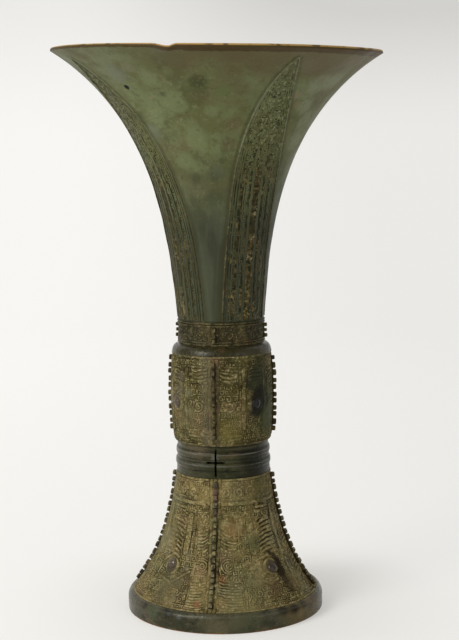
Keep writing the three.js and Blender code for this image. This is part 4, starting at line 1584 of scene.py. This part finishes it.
class GU_OT_foot_ring(bpy.types.Operator):
    """Build the plain ring that the vessel stands on"""

    bl_idname = "gu.foot_ring"
    bl_label = "Foot ring"

    def execute(self, context):
        colours = context.scene.gu_colours
        bore = RING_RADIUS - RING_WALL
        hem_bore = float(FOOT.offset(np.float64(FOOT_LEVEL), -FOOT_WALL)[0]) + 0.3 * MM
        socket = hem_bore + (FOOT_HEM_RADIUS - hem_bore) / 2 + 0.15 * MM
        top = FOOT_HEM_RADIUS + 0.1 * MM
        shoulder = 0.62 * FOOT_LEVEL
        recess = FOOT_LEVEL - 2.3 * MM
        rounded = []
        for turn in range(0, 91, 10):
            angle = math.radians(turn)
            radius = top + (RING_RADIUS - top) * math.cos(angle)
            rounded.append((radius, shoulder + (FOOT_LEVEL - shoulder) * math.sin(angle)))
        profile = [(bore, 0.0), (bore + 0.4 * MM, 0.0), (RING_RADIUS - 0.8 * MM, 0.0)]
        profile += [(RING_RADIUS - 0.3 * MM, 0.15 * MM), (RING_RADIUS, 0.8 * MM), (RING_RADIUS, 3 * MM)]
        profile += rounded + [(socket, FOOT_LEVEL), (socket, recess), (hem_bore, recess)]
        profile += [(hem_bore, FOOT_LEVEL - 3.5 * MM), (bore, FOOT_LEVEL - 5.3 * MM)]
        obj = revolve("plain_foot_ring", profile, 256)
        dent(obj, FOOT_HEM_RADIUS, ring_dents)
        obj.data.set_sharp_from_angle(angle=math.radians(50))
        patches = (
            (62, 7, 14, 4, 0.85, (0.1, 0.074, 0.022)),
            (45, 10, 3.6, 1.6, 0.95, (0.012, 0.008, 0.002)),
            (53, 8.5, 3.2, 2, 0.95, (0.012, 0.008, 0.002)),
            (61, 10, 3, 1.8, 0.9, (0.014, 0.009, 0.003)),
            (68, 6, 2, 2, 0.8, (0.02, 0.013, 0.004)),
            (57, 4.5, 1.6, 2.2, 0.7, (0.16, 0.11, 0.04)),
            (8, 7, 11, 4, 0.4, (0.115, 0.1, 0.055)),
            (-56, 7, 7, 4, 0.4, (0.05, 0.047, 0.028)),
            (73, 9, 4, 2, 0.75, (0.06, 0.036, 0.012)),
            (51, 10, 0.5, 1.0, 0.7, (0.24, 0.18, 0.08)),
            (58.5, 9, 0.6, 1.1, 0.7, (0.24, 0.18, 0.08)),
            (63, 10.5, 0.5, 1.0, 0.7, (0.24, 0.18, 0.08)),
            (69, 8, 1.0, 1.2, 0.6, (0.2, 0.13, 0.055)),
            # Painted highlight: two bluish-white spots on the shoulder's front left stand for the key lamp's
            # reflection
            (-25, 8.2, 0.7, 1.5, 0.5, (0.15, 0.148, 0.165)),
            (-18, 7.2, 0.7, 1.5, 0.5, (0.15, 0.148, 0.165)),
            (-37, 7.5, 3, 2, 0.6, (0.05, 0.075, 0.04)),
            (-45, 9.5, 2.5, 1.5, 0.8, (0.02, 0.016, 0.01)),
            (-66, 8, 5, 3, 0.7, (0.045, 0.034, 0.018)),
            (20, 3, 8, 4, 0.4, (0.05, 0.06, 0.028)),
        )
        spots = spots_at(RING, 0, patches)
        # The rubbed band round the shoulder is painted highlight, lighter where the rounded shoulder catches
        # the light
        rubbed = (8.2 * MM, 0.8 * MM, 0.4, (0.11, 0.11, 0.08))
        earthy = (0.0, 0.8 * MM, 0.95, (0.24, 0.1, 0.025))
        material = dark_patina(
            "foot ring patina",
            colours,
            spots,
            light_share=0.75,
            base=(0.034, 0.034, 0.017),
            light=(0.082, 0.078, 0.042),
            wear=[rubbed, earthy],
            stretch=(1, 1, 1.8),
            specular=0.16,
        )
        finish_piece(obj, material, "foot_ring")
        return {"FINISHED"}


class GU_OT_bowl_floor(bpy.types.Operator):
    """Give the cup's floor its patina"""

    bl_idname = "gu.bowl_floor"
    bl_label = "Bowl floor"

    def execute(self, context):
        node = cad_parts["bowl_floor"]
        node.data.materials.clear()
        node.data.materials.append(dark_patina("cup floor patina", context.scene.gu_colours))
        return {"FINISHED"}


# A flange's wall, its lower and upper end, its number of teeth, the slit inside a pair of teeth and the notch
# between pairs in mm, and its share of the common height
FLANGES = {
    "neck": (NECK, NECK_LEVEL + 2.2 * MM, TRUMPET_LEVEL - 2.6 * MM, 3, 0.9, 0.9, 0.9),
    "knop": (KNOP, KNOP_BODY_LOW + 0.4 * MM, KNOP_BODY_HIGH - 2.6 * MM, 11, 0.6, 1.3, 1.0),
    "foot": (FOOT, FOOT_LEVEL + 1.6 * MM, STEM_LEVEL - 1.2 * MM, 19, 0.5, 1.1, 1.0),
}

# Outline of a tooth, as shares of its length and of its height
TOOTH = ((0, 0.22), (0.05, 0.86), (0.16, 0.97), (0.55, 1.0), (0.86, 0.95), (0.96, 0.84), (1, 0.22))


def flange_outline(wall, low, high, teeth, slit, notch, height, seed):
    """Notched outline in radius and level, closed through the wall. No two teeth are quite alike."""
    uneven = np.random.default_rng(seed)
    gaps = [slit * MM if i % 2 == 0 else notch * MM for i in range(teeth - 1)] + [0]
    total = wall.run(high) - wall.run(low)
    shares = 1 + 0.4 * (uneven.random(teeth) - 0.5)
    sizes = shares / shares.sum() * (total - sum(gaps))
    points = []
    run = wall.run(low)
    for tooth, gap in zip(sizes, gaps):
        tall = 1 - 0.2 * uneven.random()
        for share, out in TOOTH:
            z = wall.level(run + share * tooth)
            points.append(tuple(float(v) for v in wall.offset(z, height * out * tall)))
        run += tooth + gap
    for z in np.linspace(high, low, teeth):
        points.append(tuple(float(v) for v in wall.offset(z, -0.6 * MM)))
    return points


class GU_OT_flanges(bpy.types.Operator):
    """Build the notched flanges"""

    bl_idname = "gu.flanges"
    bl_label = "Flanges"

    def execute(self, context):
        sizes = context.scene.gu_sizes
        colours = context.scene.gu_colours
        purple = (0.12, 0.06, 0.055)
        blush = spots_at(FOOT, FOOT_LEVEL, ((2, 53, 3, 2, 0.7, purple), (2, 44, 1.5, 1.5, 0.5, purple)))
        materials = {
            "neck": relief_patina("neck flange patina", colours, (0.05, 0.042, 0.02), colours.dark, 0.3),
            "knop": relief_patina(
                "knop flange patina",
                colours,
                light=(0.06, 0.05, 0.022),
                dark=(0.022, 0.018, 0.008),
                earth_share=0.2,
                worn=0.2,
            ),
            "foot": relief_patina(
                "foot flange patina",
                colours,
                light=(0.085, 0.074, 0.046),
                dark=(0.03, 0.026, 0.015),
                earth_share=0.3,
                spots=blush,
                worn=0.5,
            ),
        }
        for section, (wall, low, high, teeth, slit, notch, share) in FLANGES.items():
            height = sizes.flange_height * share
            thickness = FLANGE_THICKNESS[section] * MM
            for seed, (side, azimuth) in enumerate(SIDES.items()):
                outline = flange_outline(wall, low, high, teeth, slit, notch, height, seed + teeth)
                name = f"{section}_flange_{side}"
                obj = self.flange(f"notched_{name}", outline, thickness, azimuth, sizes.flange_bevel)
                self.shade(obj, wall, height)
                finish_piece(obj, materials[section], name)
        return {"FINISHED"}

    def shade(self, obj, wall, height):
        """Painted shade and dirt lie between the teeth, and their tops are rubbed."""
        points = points_of(obj.data)
        radius = np.hypot(points[:, 0], points[:, 1])
        z = np.clip(points[:, 2], wall.low, wall.high)
        out = (radius - wall.radius_at(z)) / np.sqrt(1 + wall.slope(z) ** 2)
        set_attribute(obj.data, "relief", smooth_step(out, 0.35 * height, 0.8 * height))
        set_attribute(obj.data, "earth", np.zeros(len(points)))

    def flange(self, name, outline, thickness, azimuth, bevel):
        """An upright plate with a notched outline and bevelled edges."""
        bm = bmesh.new()
        verts = [bm.verts.new((r, -thickness / 2, z)) for r, z in outline]
        face = bm.faces.new(verts)
        grown = bmesh.ops.extrude_face_region(bm, geom=[face])
        moved = [v for v in grown["geom"] if isinstance(v, bmesh.types.BMVert)]
        bmesh.ops.translate(bm, vec=(0, thickness, 0), verts=moved)
        bmesh.ops.recalc_face_normals(bm, faces=bm.faces)
        caps = [f for f in bm.faces if len(f.verts) == len(outline)]
        rim = {e for f in caps for e in f.edges}
        bmesh.ops.bevel(
            bm,
            geom=list(rim),
            offset=bevel,
            offset_type="OFFSET",
            segments=2,
            profile=0.5,
            affect="EDGES",
            material=-1,
            clamp_overlap=True,
        )
        bmesh.ops.rotate(
            bm,
            cent=(0, 0, 0),
            matrix=Matrix.Rotation(math.radians(azimuth), 3, "Z"),
            verts=bm.verts,
        )
        obj = object_from(bm, name)
        obj.data.set_sharp_from_angle(angle=math.radians(35))
        return obj


class GU_OT_eyes(bpy.types.Operator):
    """Build the masks' domed eyes"""

    bl_idname = "gu.eyes"
    bl_label = "Eyes"

    def execute(self, context):
        sizes = context.scene.gu_sizes
        colours = context.scene.gu_colours
        materials = {"knop": self.dark_eyes(colours), "foot": self.brown_eyes(colours)}
        radius = sizes.eye_radius
        height = sizes.eye_height
        profile = [(0.0, -1.0 * MM), (radius, -1.0 * MM)]
        for turn in range(0, 75, 10):
            angle = math.radians(turn)
            profile.append((radius * math.cos(angle), height * math.sin(angle)))
        profile += [(radius * 0.2, height * 0.93), (radius * 0.12, height * 0.75), (0.0, height * 0.7)]
        for section, wall in (("knop", KNOP), ("foot", FOOT)):
            for face in ("front", "back"):
                for hand in ("left", "right"):
                    node = f"{section}_eye_{face}_{hand}"
                    low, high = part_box(node)
                    centre = (low + high) / 2
                    obj = revolve(f"domed_{node}", profile, 32)
                    self.place(obj, wall, math.atan2(centre.y, centre.x), centre.z)
                    finish_piece(obj, materials[section], node)
        return {"FINISHED"}

    def dark_eyes(self, colours):
        """The knop's eyes are almost black, but for the front left one, which is worn to a purple brown."""
        patches = (
            (-KNOP_EYES["left"], KNOP_EYE_LEVEL, 5, 1, 0.95, (0.085, 0.066, 0.046)),
            (KNOP_EYES["right"], KNOP_EYE_LEVEL, 4, 1, 0.85, (0.011, 0.011, 0.012)),
        )
        spots = spots_at(KNOP, KNOP_LEVEL, patches)
        base, light = (0.01, 0.01, 0.011), (0.04, 0.042, 0.046)
        return dark_patina("knop eye patina", colours, spots, light_share=0.4, base=base, light=light)

    def brown_eyes(self, colours):
        """The foot's eyes are rubbed to a warm brown, the front right one less than the others."""
        n = Nodes("foot eye patina", (0.075, 0.056, 0.04))
        layers = (
            (colours.umber, 300, 4, (0.45, 0.6), 0.8, (0, 0, 0)),
            (colours.stain, 500, 4, (0.56, 0.66), 0.6, (3, 3, 3)),
        )
        n.clouds(layers)
        patch = (FOOT_EYES["right"], FOOT_EYE_LEVEL, 5, 1, 0.8, (0.026, 0.018, 0.009))
        n.stains(spots_at(FOOT, FOOT_LEVEL, [patch]))
        roughness = n.span(n.noise(300, 3), 0.3, 0.7, 0.2, 0.36)
        return n.surface(roughness, 0.25, n.bump(n.noise(900, 4), 0.3, 0.2 * MM))

    def place(self, obj, wall, azimuth, z):
        """Seats an eye square to its wall."""
        slope = float(wall.slope(np.float64(z)))
        out = Vector((math.cos(azimuth), math.sin(azimuth), -slope)).normalized()
        radius = float(wall.radius_at(z))
        seat = Vector((radius * math.cos(azimuth), radius * math.sin(azimuth), z))
        turn = Vector((0, 0, 1)).rotation_difference(out).to_matrix().to_4x4()
        turn.translation = seat
        obj.data.transform(turn)


class GU_OT_stage(bpy.types.Operator):
    """Build the floor, the lamps and the camera"""

    bl_idname = "gu.stage"
    bl_label = "Stage"

    def execute(self, context):
        stage = context.scene.gu_stage
        self.floor(stage)
        self.world(context.scene, stage)
        self.lamp("key_lamp", (-0.82, -0.9, 0.85), 0.7, stage.key_power)
        self.lamp("fill_lamp", (0.95, -0.7, 0.5), 0.8, stage.fill_power)
        self.lamp("top_lamp", (-0.15, 0.25, 1.25), 1.0, stage.top_power)
        self.camera(context.scene)
        context.scene.view_settings.view_transform = "Standard"
        return {"FINISHED"}

    def floor(self, stage):
        """A floor that bends up into a wall behind, a little darker to the right and towards the top.

        Out of the camera's sight it fades into the world's colour, so that no edge shows from other sides.
        """
        bm = bmesh.new()
        width, front, back, height, bend = 6.0, -3.0, 1.6, 4.0, 0.6
        profile = [(front, 0.0), (back - bend, 0.0)]
        for turn in range(10, 91, 10):
            angle = math.radians(turn)
            profile.append((back - bend + bend * math.sin(angle), bend - bend * math.cos(angle)))
        profile.append((back, height))
        verts = [bm.verts.new((-width / 2, y, z)) for y, z in profile]
        edges = [bm.edges.new(pair) for pair in zip(verts, verts[1:])]
        grown = bmesh.ops.extrude_edge_only(bm, edges=edges)
        moved = [v for v in grown["geom"] if isinstance(v, bmesh.types.BMVert)]
        bmesh.ops.translate(bm, vec=(width, 0, 0), verts=moved)
        bmesh.ops.recalc_face_normals(bm, faces=bm.faces)
        obj = object_from(bm, "backdrop")
        n = Nodes("pale backdrop")
        pale = stage.backdrop
        across = n.plus(n.axis("X"), n.times(n.axis("Y"), 0.17))
        right = n.span(across, -0.25, 0.25)
        far = n.span(n.axis("Y"), -0.1, 0.9)
        near_colour = n.mix(right, 1.01 * pale, 0.93 * pale)
        far_colour = n.mix(right, (1.0, 0.99, 0.962), 0.965 * pale)
        colour = n.mix(far, near_colour, far_colour)
        top = n.span(n.axis("Z"), 0.2, 0.5)
        colour = n.mix(n.times(top, n.plus(right, 0.4)), colour, 0.75 * pale)
        beside = n.span(n.math("ABSOLUTE", n.axis("X")), 0.9, 1.5)
        rim = n.math("MAXIMUM", beside, n.span(n.axis("Y"), -0.5, -1.1))
        colour = n.mix(rim, colour, pale)
        diffuse = n.add("ShaderNodeBsdfDiffuse")
        n.link(colour, diffuse.inputs["Color"])
        glow = n.add("ShaderNodeEmission")
        n.link(colour, glow.inputs["Color"])
        glow.inputs["Strength"].default_value = 1.0
        rays = n.add("ShaderNodeLightPath")
        seen = n.math("MAXIMUM", rays.outputs["Is Camera Ray"], rays.outputs["Is Glossy Ray"])
        seen = n.math("MAXIMUM", seen, rays.outputs["Is Transmission Ray"])
        away = n.add("ShaderNodeVectorMath", operation="LENGTH")
        n.link(n.coordinates, away.inputs[0])
        share = n.math("MAXIMUM", n.span(away.outputs["Value"], 0.05, 0.135, 0.42, 0.83), rim)
        mixed = n.add("ShaderNodeMixShader")
        n.link(n.times(seen, share), mixed.inputs[0])
        n.link(diffuse.outputs[0], mixed.inputs[1])
        n.link(glow.outputs[0], mixed.inputs[2])
        output = n.add("ShaderNodeOutputMaterial")
        n.link(mixed.outputs[0], output.inputs["Surface"])
        obj.data.materials.append(n.material)

    def world(self, scene, stage):
        """Soft light from all round; the camera sees it in the backdrop's colour."""
        world = bpy.data.worlds.new("soft studio")
        world.use_nodes = True
        tree = world.node_tree
        light = tree.nodes["Background"]
        light.inputs["Color"].default_value = (1.0, 0.985, 0.95, 1)
        light.inputs["Strength"].default_value = stage.world_strength
        pale = tree.nodes.new("ShaderNodeBackground")
        pale.inputs["Color"].default_value = (*stage.backdrop, 1)
        pale.inputs["Strength"].default_value = 1.0
        rays = tree.nodes.new("ShaderNodeLightPath")
        mixed = tree.nodes.new("ShaderNodeMixShader")
        tree.links.new(rays.outputs["Is Camera Ray"], mixed.inputs[0])
        tree.links.new(light.outputs[0], mixed.inputs[1])
        tree.links.new(pale.outputs[0], mixed.inputs[2])
        tree.links.new(mixed.outputs[0], tree.nodes["World Output"].inputs["Surface"])
        scene.world = world

    def lamp(self, name, place, size, power):
        """A soft square lamp, aimed at the middle of the vessel."""
        data = bpy.data.lights.new(name, "AREA")
        data.shape = "SQUARE"
        data.size = size
        data.energy = power
        data.color = (1.0, 0.985, 0.955)
        lamp = bpy.data.objects.new(name, data)
        lamp.location = place
        aim = Vector((0, 0, 0.15)) - Vector(place)
        lamp.rotation_euler = aim.to_track_quat("-Z", "Y").to_euler()
        bpy.context.scene.collection.objects.link(lamp)

    def camera(self, scene):
        """The camera that was fitted to the photograph: its place, aim, roll and focal length in pixels."""
        distance, height = 764.4 * MM, 248.5 * MM
        picture_height, focal_length = 640, 1537.2
        turn = math.radians(FRONT_TO_CAMERA)
        pitch = math.radians(7.606)
        aside = math.radians(0.317)
        roll = math.radians(0.88)
        data = bpy.data.cameras.new("camera")
        data.sensor_width = 36
        data.lens = data.sensor_width * focal_length / picture_height
        camera = bpy.data.objects.new("camera", data)
        camera.location = (distance * math.sin(turn), -distance * math.cos(turn), height)
        heading = turn - aside
        level = math.cos(pitch)
        ahead = Vector((-math.sin(heading) * level, math.cos(heading) * level, -math.sin(pitch)))
        right = Vector((math.cos(heading), math.sin(heading), 0))
        up = right.cross(ahead)
        rolled_right = right * math.cos(roll) - up * math.sin(roll)
        rolled_up = up * math.cos(roll) + right * math.sin(roll)
        matrix = Matrix((rolled_right, rolled_up, -ahead)).transposed().to_4x4()
        camera.rotation_mode = "QUATERNION"
        camera.rotation_quaternion = matrix.to_quaternion()
        scene.collection.objects.link(camera)
        scene.camera = camera


class GU_PT_panel(bpy.types.Panel):
    """Lists the pieces of the gu"""

    bl_label = "Bronze gu"
    bl_idname = "GU_PT_panel"
    bl_space_type = "VIEW_3D"
    bl_region_type = "UI"
    bl_category = "Gu"

    def draw(self, context):
        for operator in OPERATORS:
            self.layout.operator(operator.bl_idname)
        for settings in (context.scene.gu_sizes, context.scene.gu_colours, context.scene.gu_stage):
            box = self.layout.box()
            for name in settings.__annotations__:
                box.prop(settings, name)


OPERATORS = (
    GU_OT_stage,
    GU_OT_trumpet,
    GU_OT_blades,
    GU_OT_neck_band,
    GU_OT_knop,
    GU_OT_stem,
    GU_OT_foot,
    GU_OT_foot_ring,
    GU_OT_bowl_floor,
    GU_OT_flanges,
    GU_OT_eyes,
)
SETTINGS = (GuSizes, GuColours, GuStage)


def register():
    for cls in (*SETTINGS, *OPERATORS, GU_PT_panel):
        bpy.utils.register_class(cls)
    bpy.types.Scene.gu_sizes = bpy.props.PointerProperty(type=GuSizes)
    bpy.types.Scene.gu_colours = bpy.props.PointerProperty(type=GuColours)
    bpy.types.Scene.gu_stage = bpy.props.PointerProperty(type=GuStage)


def unregister():
    del bpy.types.Scene.gu_stage
    del bpy.types.Scene.gu_colours
    del bpy.types.Scene.gu_sizes
    for cls in reversed((*SETTINGS, *OPERATORS, GU_PT_panel)):
        bpy.utils.unregister_class(cls)


def main():
    register()
    bpy.ops.gu.stage()
    bpy.ops.gu.trumpet()
    bpy.ops.gu.blades()
    bpy.ops.gu.neck_band()
    bpy.ops.gu.knop()
    bpy.ops.gu.stem()
    bpy.ops.gu.foot()
    bpy.ops.gu.foot_ring()
    bpy.ops.gu.bowl_floor()
    bpy.ops.gu.flanges()
    bpy.ops.gu.eyes()


if __name__ == "__main__":
    main()
